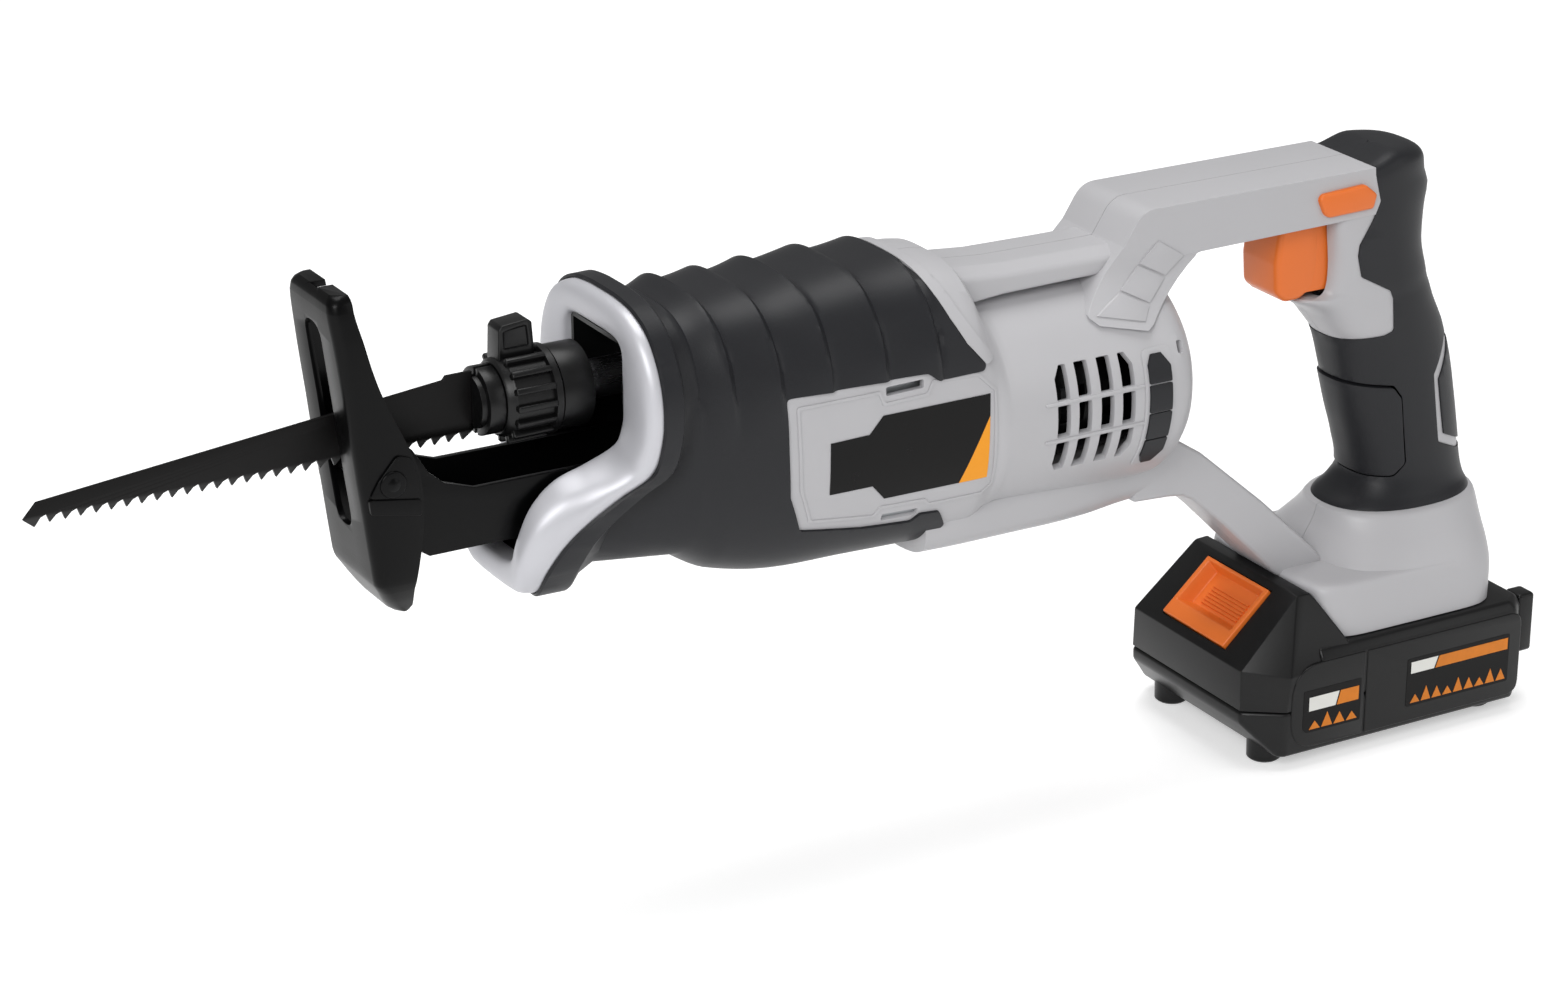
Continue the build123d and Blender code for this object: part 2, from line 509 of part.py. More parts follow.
def make_drive_gear():
    """Crown gear on the upright axle, its crank pin and the pin's roller."""
    gear = rod_z(GEAR_R, GEAR_UNDER_Z, GEAR_TOP_Z) + rod_z(GEAR_HUB_R, HUB_LOW_Z, GEAR_UNDER_Z + 1)
    pitch = 360 / GEAR_TEETH
    gear = gear.fuse(*[gear_tooth(i * pitch) for i in range(GEAR_TEETH)])
    gear -= rod_z(AXLE_R + RUN_GAP, HUB_LOW_Z - 1, GEAR_TOP_Z + 1)
    gear -= rod_z(CRANK_PIN_R, GEAR_UNDER_Z - 1, GEAR_TOP_Z + 1, 0, CRANK_R)
    for side in (-1, 1):
        gear -= rod_z(4.5, GEAR_UNDER_Z - 1, GEAR_TOP_Z + 1, side * 14.5, -7)
    keep("drive_gear", biggest(gear))
    top = PLUNGER_Z + YOKE_H / 2 + 2.4
    collar_top = PLUNGER_Z - YOKE_H / 2 - 1.0
    pin = rod_z(CRANK_PIN_R, GEAR_UNDER_Z, top, 0, CRANK_R)
    pin += rod_z(CRANK_PIN_R + 1.6, GEAR_TOP_Z, collar_top, 0, CRANK_R)
    keep("crank_pin", pin)
    roller = rod_z(ROLLER_R, collar_top, top - 0.8, 0, CRANK_R)
    keep("crank_roller", roller - rod_z(CRANK_PIN_R, collar_top - 1, top, 0, CRANK_R))


def make_pinion():
    """Straight-cut pinion on the motor shaft, with a gap at the top for the gear's tooth."""
    length = GEAR_R + 0.6 - GEAR_FACE_IN_R + 0.7
    x0 = GEAR_FACE_IN_R - 0.9
    root_r = PINION_R - DEDENDUM
    tip_r = PINION_R + ADDENDUM
    half_mid = TOOTH_W / 2 / PINION_R
    half_root = half_mid * 1.7
    half_tip = half_mid * 0.4
    points = []
    for i in range(PINION_TEETH):
        mid = 2 * pi * (i + 0.5) / PINION_TEETH
        for radius, half in ((root_r, -half_root), (PINION_R, -half_mid), (tip_r, -half_tip),
                             (tip_r, half_tip), (PINION_R, half_mid), (root_r, half_root)):
            points.append((radius * sin(mid + half), MOTOR_Z + radius * cos(mid + half)))
    face = make_face(Plane.YZ * Polyline(*points, close=True))
    pinion = Pos(x0, 0, 0) * extrude(face, amount=length, dir=(1, 0, 0))
    keep("pinion", pinion - rod_x(SHAFT_R, x0 - 1, x0 + length + 1, 0, MOTOR_Z))


def make_motor():
    """Brushed motor: can, magnets, brush gear, and the turning parts on its shaft."""
    can = rod_x(CAN_R, CAN_X0, CAN_X1, 0, MOTOR_Z)
    can -= rod_x(CAN_R - CAN_WALL, CAN_X0 + 2, CAN_X1 + 1, 0, MOTOR_Z)
    can -= rod_x(7.0, CAN_X0 - 1, CAN_X0 + 3, 0, MOTOR_Z)
    for x in (88.0, 104.0):
        can -= block(x, x + 9, -BIG, BIG, MOTOR_Z - 6, MOTOR_Z + 6)
    keep("motor_can", biggest(can))
    shells = ring_x(CAN_R - CAN_WALL, MAGNET_IN_R, 62.0, 84.0, 0, MOTOR_Z)
    magnets = shells - block(0, 120, -7, 7, 0, 300)
    keep("motor_magnets", group([magnets]))
    holder = rod_x(CAN_R - CAN_WALL, 115.0, REAR_BEARING_X1 + 1.5, 0, MOTOR_Z)
    holder += mirrored(block(105.5, 115.5, 10.0, 20.5, MOTOR_Z - 4.6, MOTOR_Z + 4.6))
    holder -= mirrored(block(107.0, 114.5, 9.0, 19.5, MOTOR_Z - 3.2, MOTOR_Z + 3.2))
    holder -= rod_x(REAR_BEARING_R, REAR_BEARING_X0, REAR_BEARING_X1, 0, MOTOR_Z)
    holder -= rod_x(SHAFT_R + 1.5, 110, REAR_BEARING_X1 + 3, 0, MOTOR_Z)
    keep("brush_holder", biggest(holder))
    brush = block(107.2, 114.3, 9.3, 18.5, MOTOR_Z - 3.0, MOTOR_Z + 3.0)
    keep("motor_brushes", group([mirrored(brush)]))
    keep("rotor_shaft", rod_x(SHAFT_R, GEAR_FACE_IN_R - 1.5, REAR_BEARING_X1 + 1, 0, MOTOR_Z))
    slot = block(50, 110, -1.5, 1.5, ARMATURE_R - 5, ARMATURE_R + 1)
    core = rod_x(ARMATURE_R, 64.0, 100.0, 0, 0)
    for i in range(10):
        core -= Rot(36 * i, 0, 0) * slot
    core = Pos(0, 0, MOTOR_Z) * core - rod_x(SHAFT_R, 60, 105, 0, MOTOR_Z)
    keep("armature", biggest(core))
    keep("commutator", ring_x(9.0, SHAFT_R, 102.0, 113.8, 0, MOTOR_Z))
    fan = ring_x(6.0, SHAFT_R, FAN_X0, FAN_X1, 0, MOTOR_Z)
    fan += ring_x(FAN_R, 5.0, FAN_X1 - 1.6, FAN_X1, 0, MOTOR_Z)
    blade = Pos(0, 0, MOTOR_Z) * (Rot(12, 0, 0) * block(FAN_X0, FAN_X1, -0.8, 0.8, 5.0, FAN_R - 0.5))
    for i in range(9):
        fan += Pos(0, 0, MOTOR_Z) * Rot(40 * i, 0, 0) * Pos(0, 0, -MOTOR_Z) * blade
    keep("cooling_fan", biggest(fan))


def make_plunger():
    """Plunger rod with its scotch yoke and tail, slotted in front for the blade's tang."""
    rod = rod_x(ROD_R, COLLAR_X0 + 0.5, -YOKE_HALF + 1)
    yoke = block(-YOKE_HALF, YOKE_HALF, -YOKE_Y, YOKE_Y, PLUNGER_Z - YOKE_H / 2, PLUNGER_Z + YOKE_H / 2)
    slot_y = CRANK_R + ROLLER_R + 0.6
    yoke -= block(-SLOT_HALF, SLOT_HALF, -slot_y + 1.0, slot_y, PLUNGER_Z - YOKE_H, PLUNGER_Z + YOKE_H)
    tail = rod_x(TAIL_R, YOKE_HALF - 1, TAIL_END_X)
    plunger = rod + yoke + tail
    plunger -= block(-110, BLADE_HEEL_X + TANG_L + 1.0, -BLADE_T / 2 - 0.12, BLADE_T / 2 + 0.12, 150, 190)
    keep("plunger", biggest(plunger))


def make_clamp():
    """Blade clamp: hub and cap on the plunger, and the ribbed collar that turns on the hub."""
    slot = block(-110, BLADE_HEEL_X + TANG_L + 1.0, -BLADE_T / 2 - 0.15, BLADE_T / 2 + 0.15, 150, 195)
    hub = rod_x(HUB_REAR_R, HUB_REAR_X0, HUB_REAR_X1) + rod_x(HUB_R, COLLAR_X0, HUB_REAR_X0 + 1)
    keep("clamp_hub", biggest(hub - rod_x(ROD_R, COLLAR_X0 + 0.5, HUB_REAR_X1 + 1) - slot))
    cap = rod_x(CAP_R, CAP_X0 + 1.6, COLLAR_X0 - SEAT_GAP) + rod_x(CAP_R - 2.4, CAP_X0, CAP_X0 + 2)
    cap += rod_x(4.2, COLLAR_X0 - SEAT_GAP - 0.1, COLLAR_X0)
    keep("clamp_cap", group([cap - slot]))
    collar = ring_x(COLLAR_R - 0.9, HUB_R + 0.08, COLLAR_X0, COLLAR_X1)
    rib = block(COLLAR_X0 + 2.2, COLLAR_X1 - 0.6, -1.25, 1.25, COLLAR_R - 1.6, COLLAR_R)
    turned = [Pos(0, 0, PLUNGER_Z) * Rot(360 / COLLAR_RIBS * i, 0, 0) * rib for i in range(COLLAR_RIBS)]
    collar = collar.fuse(*turned)
    lever = slab([(-97.5, 184.0), (-97.0, 193.6), (-86.4, 194.6), (-85.6, 184.0)], -2.0, 5.5)
    keep("clamp_collar", biggest(collar + lever))
    pin = rod_y(1.6, BLADE_T / 2 + 0.4, 9.0, -93.0, PLUNGER_Z)
    pieces["plunger"] = biggest(pieces["plunger"] - pin)
    pieces["clamp_hub"] = biggest(pieces["clamp_hub"] - pin)
    keep("clamp_pin", pin)


def make_blade():
    """Saw blade with hooked teeth, a rising back and a drilled tang."""
    back_z = BLADE_TEETH_Z + BLADE_HEEL_H
    points = [(BLADE_TIP_X + 3.2, BLADE_TEETH_Z - 0.6), (BLADE_TIP_X, BLADE_TEETH_Z + 2.0),
              (BLADE_TIP_X + 4.2, BLADE_TEETH_Z + BLADE_TIP_H),
              (-152.0, back_z - 4.0), (-133.0, back_z - 2.0),
              (-115.0, back_z - 0.3), (-114.0, back_z + 1.0), (BLADE_HEEL_X, back_z + 1.1),
              (BLADE_HEEL_X, PLUNGER_Z + TANG_H / 2), (BLADE_HEEL_X + TANG_L, PLUNGER_Z + TANG_H / 2),
              (BLADE_HEEL_X + TANG_L, PLUNGER_Z - TANG_H / 2), (BLADE_HEEL_X, PLUNGER_Z - TANG_H / 2),
              (BLADE_HEEL_X, BLADE_TEETH_Z + TOOTH_DEPTH)]
    count = int((BLADE_HEEL_X - BLADE_TIP_X - 6.0) / TOOTH_PITCH)
    x = BLADE_TIP_X + 3.2 + count * TOOTH_PITCH
    for i in range(count):
        points.append((x, BLADE_TEETH_Z))
        points.append((x - 0.9, BLADE_TEETH_Z + TOOTH_DEPTH))
        points.append((x - 2.6, BLADE_TEETH_Z + TOOTH_DEPTH * 0.75))
        x -= TOOTH_PITCH
    blade = both_sides(points, BLADE_T / 2)
    blade -= rod_y(1.9, -2, 2, -93.0, PLUNGER_Z)
    keep("saw_blade", biggest(blade))


# ---------------------------------------------------------------- shoe
def make_shoe_bracket():
    """U-shaped steel bracket that carries the shoe, screwed to the gearcase."""
    side = [(-143.2, 163.0), (-132.0, 166.0), (-127.0, 158.0), (-122.0, 153.6), (-112.0, 150.2),
            (-93.5, BRACKET_TOP_Z), (BRACKET_FLANGE_X, BRACKET_TOP_Z), (BRACKET_FLANGE_X, BRACKET_LOW_Z),
            (-127.5, BRACKET_LOW_Z), (-131.0, 134.0), (-144.2, 156.0)]
    channel = both_sides(side, BRACKET_Y) + rod_y(5.6, -BRACKET_Y, BRACKET_Y, PIVOT_X, PIVOT_Z)
    channel -= block(-160, BRACKET_FLANGE_X - SHEET_T, -BRACKET_Y + SHEET_T, BRACKET_Y - SHEET_T,
                     BRACKET_LOW_Z + SHEET_T, 190)
    floor_end = block(-160, -126.0, -BRACKET_Y + SHEET_T, BRACKET_Y - SHEET_T, 120, 190)
    flange = block(BRACKET_FLANGE_X - SHEET_T, BRACKET_FLANGE_X, -BRACKET_Y, BRACKET_Y, BRACKET_LOW_Z, 159.0)
    bracket = channel - floor_end + flange
    bracket -= rod_y(PIVOT_PIN_R, -30, 30, PIVOT_X, PIVOT_Z)
    for y in (-8.0, 8.0):
        bracket -= rod_x(2.1, -60, -40, y, 141.0)
    keep("shoe_bracket", biggest(bracket))
    screws = []
    for y in (-8.0, 8.0):
        face_x = BRACKET_FLANGE_X - SHEET_T
        head = rod_x(3.6, face_x - 2.8, face_x, y, 141.0) - rod_x(1.5, face_x - 4, face_x - 1.2, y, 141.0)
        screws.append(head + rod_x(1.55, face_x, -35.0, y, 141.0))
    keep("bracket_screws", group(screws))
    pin_in = BRACKET_Y - SHEET_T - 1.0
    stub = rod_y(PIVOT_PIN_R, pin_in, SHOE_Y + 1.0, PIVOT_X, PIVOT_Z)
    stub += rod_y(4.2, SHOE_Y + 0.1, SHOE_Y + 1.5, PIVOT_X, PIVOT_Z)
    keep("shoe_pivot_pins", group([mirrored(stub)]))


SHOE_FACE = [(-156.3, SHOE_TOP_Z - 1.5), (-145.6, 126.0), (-139.5, 115.5)]


def make_shoe():
    """Tilting shoe: slotted face plate with two side flanges and a folded top lip."""
    plate = [SHOE_FACE[0], SHOE_FACE[1], SHOE_FACE[2], (-137.3, 116.8), (-143.4, 126.8),
             (-154.0, SHOE_TOP_Z - 3.0), (-151.0, SHOE_TOP_Z - 2.0), (-148.5, SHOE_TOP_Z - 5.0),
             (-146.8, SHOE_TOP_Z - 3.5), (-149.5, SHOE_TOP_Z + 0.6), (-153.5, SHOE_TOP_Z + 1.6)]
    face = both_sides(plate, SHOE_Y)
    flange = [(-155.6, 209.0), (-145.6, 126.0), (-139.5, 115.5), (-136.5, 118.0), (-137.0, 123.0),
              (-132.5, 134.0), (-129.0, 150.0), (-131.5, 164.0), (-133.5, 169.0), (-141.0, 184.5),
              (-151.0, 209.0)]
    inner = SHOE_Y - SHEET_T
    sides = slab(flange, inner, SHOE_Y) + slab(flange, -SHOE_Y, -inner)
    shoe = face + sides
    slot_h = SHOE_SLOT_Z1 - SHOE_SLOT_Z0
    slot = Pos(-160, 0, (SHOE_SLOT_Z0 + SHOE_SLOT_Z1) / 2) * extrude(
        Plane.YZ * RectangleRounded(SHOE_SLOT_W, slot_h, SHOE_SLOT_W / 2 - 0.1), amount=22, dir=(1, 0, 0))
    shoe -= slot
    shoe -= rod_y(PIVOT_PIN_R + RUN_GAP, -30, 30, PIVOT_X, PIVOT_Z)
    corner = front_outline([(0.0, 230.0), (12.5, 230.0), (SHOE_Y + 1, 208.0), (SHOE_Y + 1, 127.0),
                            (12.0, 110.0), (0.0, 110.0)], -170, -120)
    keep("shoe", biggest(shoe & corner))


# ---------------------------------------------------------------- trims on the shell
def make_trims():
    """Labels, side bumpers, grip skin and rear grip insert."""
    label = [(-3.0, 132.6), (-3.0, 150.3), (13.0, 150.3), (20.0, 155.3), (54.0, 155.3), (54.0, 127.7),
             (20.0, 127.7), (13.0, 132.6)]
    keep("side_labels", group([mirrored(slab(label, BARREL_R, BARREL_R + LABEL_T))]))
    strip = ring_x(BARREL_R + 1.2, BARREL_R, 113.5, 121.5, 0, MOTOR_Z)
    sides = block(100, 130, -BIG, -20, 119, 157) + block(100, 130, 20, BIG, 119, 157)
    keep("side_bumpers", group([strip & sides]))
    skin = both_sides(HANDLE_OUTLINE, GRIP_Y) & both_sides(SKIN_REGION, BIG)
    flare_low = Pos(242, 0, 74) * RectangleRounded(56, 38, 10)
    flare_high = Pos(243, 0, 79) * RectangleRounded(46, 2 * GRIP_Y, 8)
    skin += loft([flare_low, flare_high], ruled=True)
    skin -= both_sides(GRIP_CORE, GRIP_Y - GRIP_SKIN)
    skin -= both_sides(INSERT_REGION, BIG)
    for x, z, half in SCREW_PLACES[2:4]:
        skin -= rod_y(3.2, -BIG, 0, x, z)
    keep("grip_sleeve", biggest(skin & block(200, 290, -BIG, BIG, 74, 205)))
    insert = both_sides(INSERT_REGION, GRIP_Y - 0.6) & both_sides(HANDLE_OUTLINE, GRIP_Y)
    insert -= both_sides(GRIP_CORE, GRIP_Y - GRIP_SKIN)
    keep("grip_back_insert", biggest(insert))


# ---------------------------------------------------------------- switch and trigger
SWITCH_X0, SWITCH_X1 = 211.0, 237.0


def make_switch():
    """Trigger, its spring and plunger, the lock-off bolt and the electrical pieces in the grip."""
    trigger = both_sides(TRIGGER_OUTLINE, TRIGGER_Y)
    trigger -= block(187, 203, -TRIGGER_Y + 2, TRIGGER_Y - 2, 162.5, 181.5)
    keep("trigger", biggest(trigger))
    keep("switch_plunger", rod_x(2.2, 187.0, 213.0, 0, 172.0))
    spring = ring_x(4.0, 3.0, 187.4, SWITCH_X0 - 0.4, 0, 172.0)
    keep("trigger_spring", spring)
    body = block(SWITCH_X0, SWITCH_X1, -8.8, 8.8, 152.0, 181.0)
    body -= rod_x(2.2 + SLIP_GAP, SWITCH_X0 - 1, 213.0 + TRIGGER_TRAVEL + 1.5, 0, 172.0)
    keep("switch_body", body)
    keep("lock_off_button", lock_button_shape())
    keep("speed_controller", block(228.0, 245.0, -7.5, 7.5, 112.0, 130.0))
    terminal = block(250.0, FOOT_X1 - 4.0, -17.5, 17.5, 43.5, 54.5)
    for y in (-12.0, -4.0, 4.0, 12.0):
        terminal += block(237.0, 250.5, y - 0.4, y + 0.4, 44.5, 49.5)
    keep("terminal_block", terminal)
    leads = []
    for y in (-3.0, 3.0):
        path = FilletPolyline((256.0, y, 55.0), (246.0, y, 92.0), (242.0, y, 111.5), radius=30)
        leads.append(sweep(Plane(origin=path @ 0, z_dir=path % 0) * Circle(1.2), path=path))
    for y in (-3.0, 3.0):
        path = FilletPolyline((236.0, y, 130.5), (233.0, y, 140.0), (231.0, y, 151.5), radius=20)
        leads.append(sweep(Plane(origin=path @ 0, z_dir=path % 0) * Circle(1.2), path=path))
    keep("power_leads", group(leads))


# ---------------------------------------------------------------- battery pack
LATCH_DIR = (0.7, 0.0, -0.714)


def pack_plan(z0, z1, inset=0.0):
    """The pack's outline seen from above, with its faceted front corners."""
    x0, x1, y = PACK_X0 + inset, PACK_X1 - inset, PACK_Y - inset
    front_y = HUMP_Y - inset * 0.7
    points = [(x0, -front_y), (x0 + 11.0, -y), (x1 - 6, -y), (x1, -y + 6), (x1, y - 6), (x1 - 6, y),
              (x0 + 11.0, y), (x0, front_y)]
    face = make_face(Polyline(*points, close=True))
    return Pos(0, 0, z0) * extrude(face, amount=z1 - z0, dir=(0, 0, 1))


HUMP_SIDE = [(PACK_X0, 30.0), (PACK_X0, 37.0), (182.0, HUMP_TOP_Z), (HUMP_X1, HUMP_TOP_Z), (HUMP_X1, 30.0)]
LATCH_FACE = [(160.3, 38.6), (179.3, 55.7)]


def underside_cut(inset):
    """What lies below the sloped underside at the pack's front; inset moves the slope into the case."""
    run = (PACK_CUT_L ** 2 + PACK_CUT_H ** 2) ** 0.5
    ux, uz = PACK_CUT_L / run, PACK_CUT_H / run
    dx, dz = inset * uz, inset * ux
    spare = PACK_WALL + 4.0
    x0, z1 = PACK_X0 + dx - spare * ux, PACK_LOW_Z + PACK_CUT_H + dz + spare * uz
    x1, z0 = PACK_X0 + PACK_CUT_L + dx + spare * ux, PACK_LOW_Z + dz - spare * uz
    return both_sides([(x0, z0), (x1, z0), (x0, z1)], BIG)


def make_pack():
    """Battery pack: two case halves, cells, board, contacts, feet, bumpers and screws."""
    lower = pack_plan(PACK_LOW_Z, PACK_SEAM_Z)
    lower -= pack_plan(PACK_LOW_Z + PACK_WALL, PACK_SEAM_Z + 1, PACK_WALL) - underside_cut(PACK_WALL)
    screw_places = [(x, sign * PACK_SCREW_Y) for sign in (-1, 1) for x in (172.5, 258.0)]
    for x, y in screw_places:
        lower += rod_z(3.8, PACK_LOW_Z, PACK_SEAM_Z - 0.2, x, y)
    lower -= underside_cut(0.0)
    upper = pack_plan(PACK_SEAM_Z, PACK_TOP_Z) + (both_sides(HUMP_SIDE, HUMP_Y) & pack_plan(20, 70))
    upper -= pack_plan(PACK_SEAM_Z - 1, PACK_TOP_Z - PACK_WALL, PACK_WALL)
    hump_inner = [(PACK_X0 + 3, 30.0), (PACK_X0 + 3, 34.0), (181.0, 52.0), (HUMP_X1 - 2, 52.0),
                  (HUMP_X1 - 2, 30.0)]
    upper -= both_sides(hump_inner, HUMP_Y - 3)
    rail = block(RAIL_X0, RAIL_X1, -RAIL_NECK_Y, RAIL_NECK_Y, PACK_TOP_Z - 1, RAIL_FLANGE_Z1)
    rail += block(RAIL_X0, RAIL_X1, -RAIL_FLANGE_Y, RAIL_FLANGE_Y, RAIL_FLANGE_Z0, RAIL_FLANGE_Z1)
    upper += rail
    upper -= block(RAIL_X0 + 2, RAIL_X1 - 14.5, -RAIL_NECK_Y + 2, RAIL_NECK_Y - 2, 30.0, RAIL_FLANGE_Z1 - 2)
    for y in (-12.0, -4.0, 4.0, 12.0):
        upper -= block(RAIL_X1 - 13.5, RAIL_X1 + 1, y - 1.2, y + 1.2, PACK_TOP_Z + 1.0, RAIL_FLANGE_Z1 - 0.4)
    face_dir = Vector(LATCH_DIR[0], 0, LATCH_DIR[2])
    pocket = latch_button(SLIP_GAP)
    for step in (0.0, LATCH_TRAVEL / 2, LATCH_TRAVEL + 0.4):
        upper -= Pos(*(face_dir * step)) * pocket
    for x, y in screw_places:
        lower -= rod_z(1.7, PACK_LOW_Z - 1, PACK_SEAM_Z, x, y)
        lower -= rod_z(3.2, PACK_LOW_Z - 1, PACK_LOW_Z + 3.0, x, y)
    keep("pack_lower_case", biggest(lower))
    keep("pack_upper_case", biggest(upper))
    cells = []
    for i in range(CELL_COUNT):
        x = PACK_X0 + PACK_WALL + 9.6 + 4.0 + i * CELL_PITCH
        can = rod_y(CELL_R, -CELL_L / 2, CELL_L / 2 - 1.0, x, PACK_LOW_Z + PACK_WALL + CELL_R + 1.2)
        cells.append(can + rod_y(3.0, CELL_L / 2 - 1.5, CELL_L / 2, x, PACK_LOW_Z + PACK_WALL + CELL_R + 1.2))
    keep("pack_cells", group(cells))
    keep("pack_board", block(176.0, 258.0, -26.0, 26.0, 29.0, 30.6))
    contacts = []
    for y in (-12.0, -4.0, 4.0, 12.0):
        clip = block(RAIL_X1 - 12.0, RAIL_X1 - 3.0, y - 1.1, y - 0.7, PACK_TOP_Z + 1.0, RAIL_FLANGE_Z1 - 1.5)
        contacts.append(clip)
        contacts.append(mirror(clip, about=Plane(origin=(0, y, 0), z_dir=(0, 1, 0))))
    keep("pack_contacts", group(contacts))
    feet = []
    for sign in (-1, 1):
        for x in (172.5, 262.0):
            feet.append(rod_z(6.0, 0.0, PACK_LOW_Z, x, sign * 27.0))
    keep("pack_feet", group(feet))
    posts = [block(PACK_X1, BUMPER_X1, s * 30.0 - 4.0, s * 30.0 + 4.0, 18.0, 39.6) for s in (-1, 1)]
    keep("pack_rear_bumpers", group(posts))
    screws = []
    for x, y in screw_places:
        head = rod_z(2.9, PACK_LOW_Z + 0.6, PACK_LOW_Z + 3.0, x, y)
        screws.append(head + rod_z(1.6, PACK_LOW_Z + 3.0, PACK_SEAM_Z - 0.4, x, y))
    keep("pack_screws", group(screws))
    button = latch_button(0.0)
    keep("pack_release_button", button)


def latch_button(extra):
    """Release button on the sloped face: a scooped plate with a short stem."""
    (x0, z0), (x1, z1) = LATCH_FACE
    nx, nz = -LATCH_DIR[0], -LATCH_DIR[2]
    top, low = 0.6 + extra * 4, -3.4 - extra
    length = ((x1 - x0) ** 2 + (z1 - z0) ** 2) ** 0.5
    tx, tz = (x1 - x0) / length, (z1 - z0) / length
    x0, z0, x1, z1 = x0 + 2.2 * tx, z0 + 2.2 * tz, x1 - 1.6 * tx, z1 - 1.6 * tz
    x0, z0, x1, z1 = x0 - extra * tx, z0 - extra * tz, x1 + extra * tx, z1 + extra * tz
    plate = [(x0 + nx * low, z0 + nz * low), (x1 + nx * low, z1 + nz * low),
             (x1 + nx * top, z1 + nz * top), (x0 + nx * top, z0 + nz * top)]
    return both_sides(plate, 17.5 + extra)


make_housing()
make_housing_screws()
make_boot()
make_nose()
make_gearcase()
make_bushes()
make_drive_gear()
make_pinion()
make_motor()
make_plunger()
make_clamp()
make_blade()
make_shoe_bracket()
make_shoe()
make_trims()
make_switch()
make_pack()

os.makedirs("parts", exist_ok=True)
for name, shape in pieces.items():
    export_step(Pos(SHIFT_X, 0, 0) * shape, f"parts/{name}.step")
print(len(pieces), "pieces, shift", round(SHIFT_X, 3))
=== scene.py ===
"""Cordless reciprocating saw: finishes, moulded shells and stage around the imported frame."""

import json
import logging
import math
from contextlib import contextmanager
from dataclasses import dataclass, field
from enum import Enum
from typing import Iterable, Iterator, Sequence

import bmesh
import bpy
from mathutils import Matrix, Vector


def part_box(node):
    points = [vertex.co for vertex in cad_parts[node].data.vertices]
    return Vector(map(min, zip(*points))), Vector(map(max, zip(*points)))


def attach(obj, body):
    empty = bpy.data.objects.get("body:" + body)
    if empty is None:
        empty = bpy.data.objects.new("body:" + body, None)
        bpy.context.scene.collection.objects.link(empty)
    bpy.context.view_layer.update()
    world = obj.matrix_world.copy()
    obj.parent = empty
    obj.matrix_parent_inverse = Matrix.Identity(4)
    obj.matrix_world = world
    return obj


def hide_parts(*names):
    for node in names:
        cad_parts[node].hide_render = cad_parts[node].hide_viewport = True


logging.basicConfig(level=logging.INFO, format="%(message)s")
LOG = logging.getLogger("saw")

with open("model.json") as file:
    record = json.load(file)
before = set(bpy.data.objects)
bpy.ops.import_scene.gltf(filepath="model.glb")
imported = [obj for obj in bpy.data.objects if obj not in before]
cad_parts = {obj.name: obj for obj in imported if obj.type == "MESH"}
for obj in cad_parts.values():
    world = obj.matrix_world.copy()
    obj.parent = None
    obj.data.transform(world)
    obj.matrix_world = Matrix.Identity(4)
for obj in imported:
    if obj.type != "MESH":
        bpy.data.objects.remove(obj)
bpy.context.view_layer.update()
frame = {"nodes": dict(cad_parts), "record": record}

MM = 0.001
Point2 = tuple[float, float]
Point3 = tuple[float, float, float]
Outline = Sequence[Point2]
Piece = bpy.types.Object
# creases sharper than this stay sharp when a piece is shaded smooth, in degrees
SHARP_DEG = 32.0
# distance of each housing half's cut from the centre plane, in millimetres
SEAM_GAP = 0.1


def box_mm(node: str) -> tuple[Vector, Vector]:
    """A CAD node's lowest and highest corners in millimetres."""
    low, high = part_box(node)
    return low / MM, high / MM


def middle_mm(node: str, axis: int) -> float:
    """The middle of a CAD node's box along an axis, in millimetres."""
    low, high = box_mm(node)
    return (low[axis] + high[axis]) / 2


# the drive gear's axis is the saw's own x = 0; every size below is measured from it, in millimetres
DATUM_X = middle_mm("drive_gear", 0)
PLUNGER_Z = middle_mm("plunger_front_bush", 2)
MOTOR_Z = middle_mm("rotor_shaft", 2)


# ------------------------------------------------------------------ outlines and curves
def rounded(points: Outline, radius: float | Sequence[float], steps: int = 5) -> list[Point2]:
    """Round the corners of a closed outline.

    Args:
        points: the outline's corners, in order.
        radius: one radius for all corners, or one for each.
        steps: straight pieces in each rounded corner.

    Returns:
        The outline with its corners as arcs.
    """
    radii = [radius] * len(points) if isinstance(radius, (int, float)) else list(radius)
    out: list[Point2] = []
    for i, corner in enumerate(points):
        here = Vector(corner)
        before = Vector(points[i - 1]) - here
        after = Vector(points[(i + 1) % len(points)]) - here
        reach = radii[i]
        angle = before.angle(after, math.pi)
        if reach <= 0 or angle > math.radians(176):
            out.append((here.x, here.y))
            continue
        cut = min(reach / math.tan(angle / 2), before.length * 0.48, after.length * 0.48)
        start = here + before.normalized() * cut
        end = here + after.normalized() * cut
        for k in range(steps + 1):
            t = k / steps
            spot = start * (1 - t) ** 2 + here * 2 * t * (1 - t) + end * t ** 2
            out.append((spot.x, spot.y))
    return out


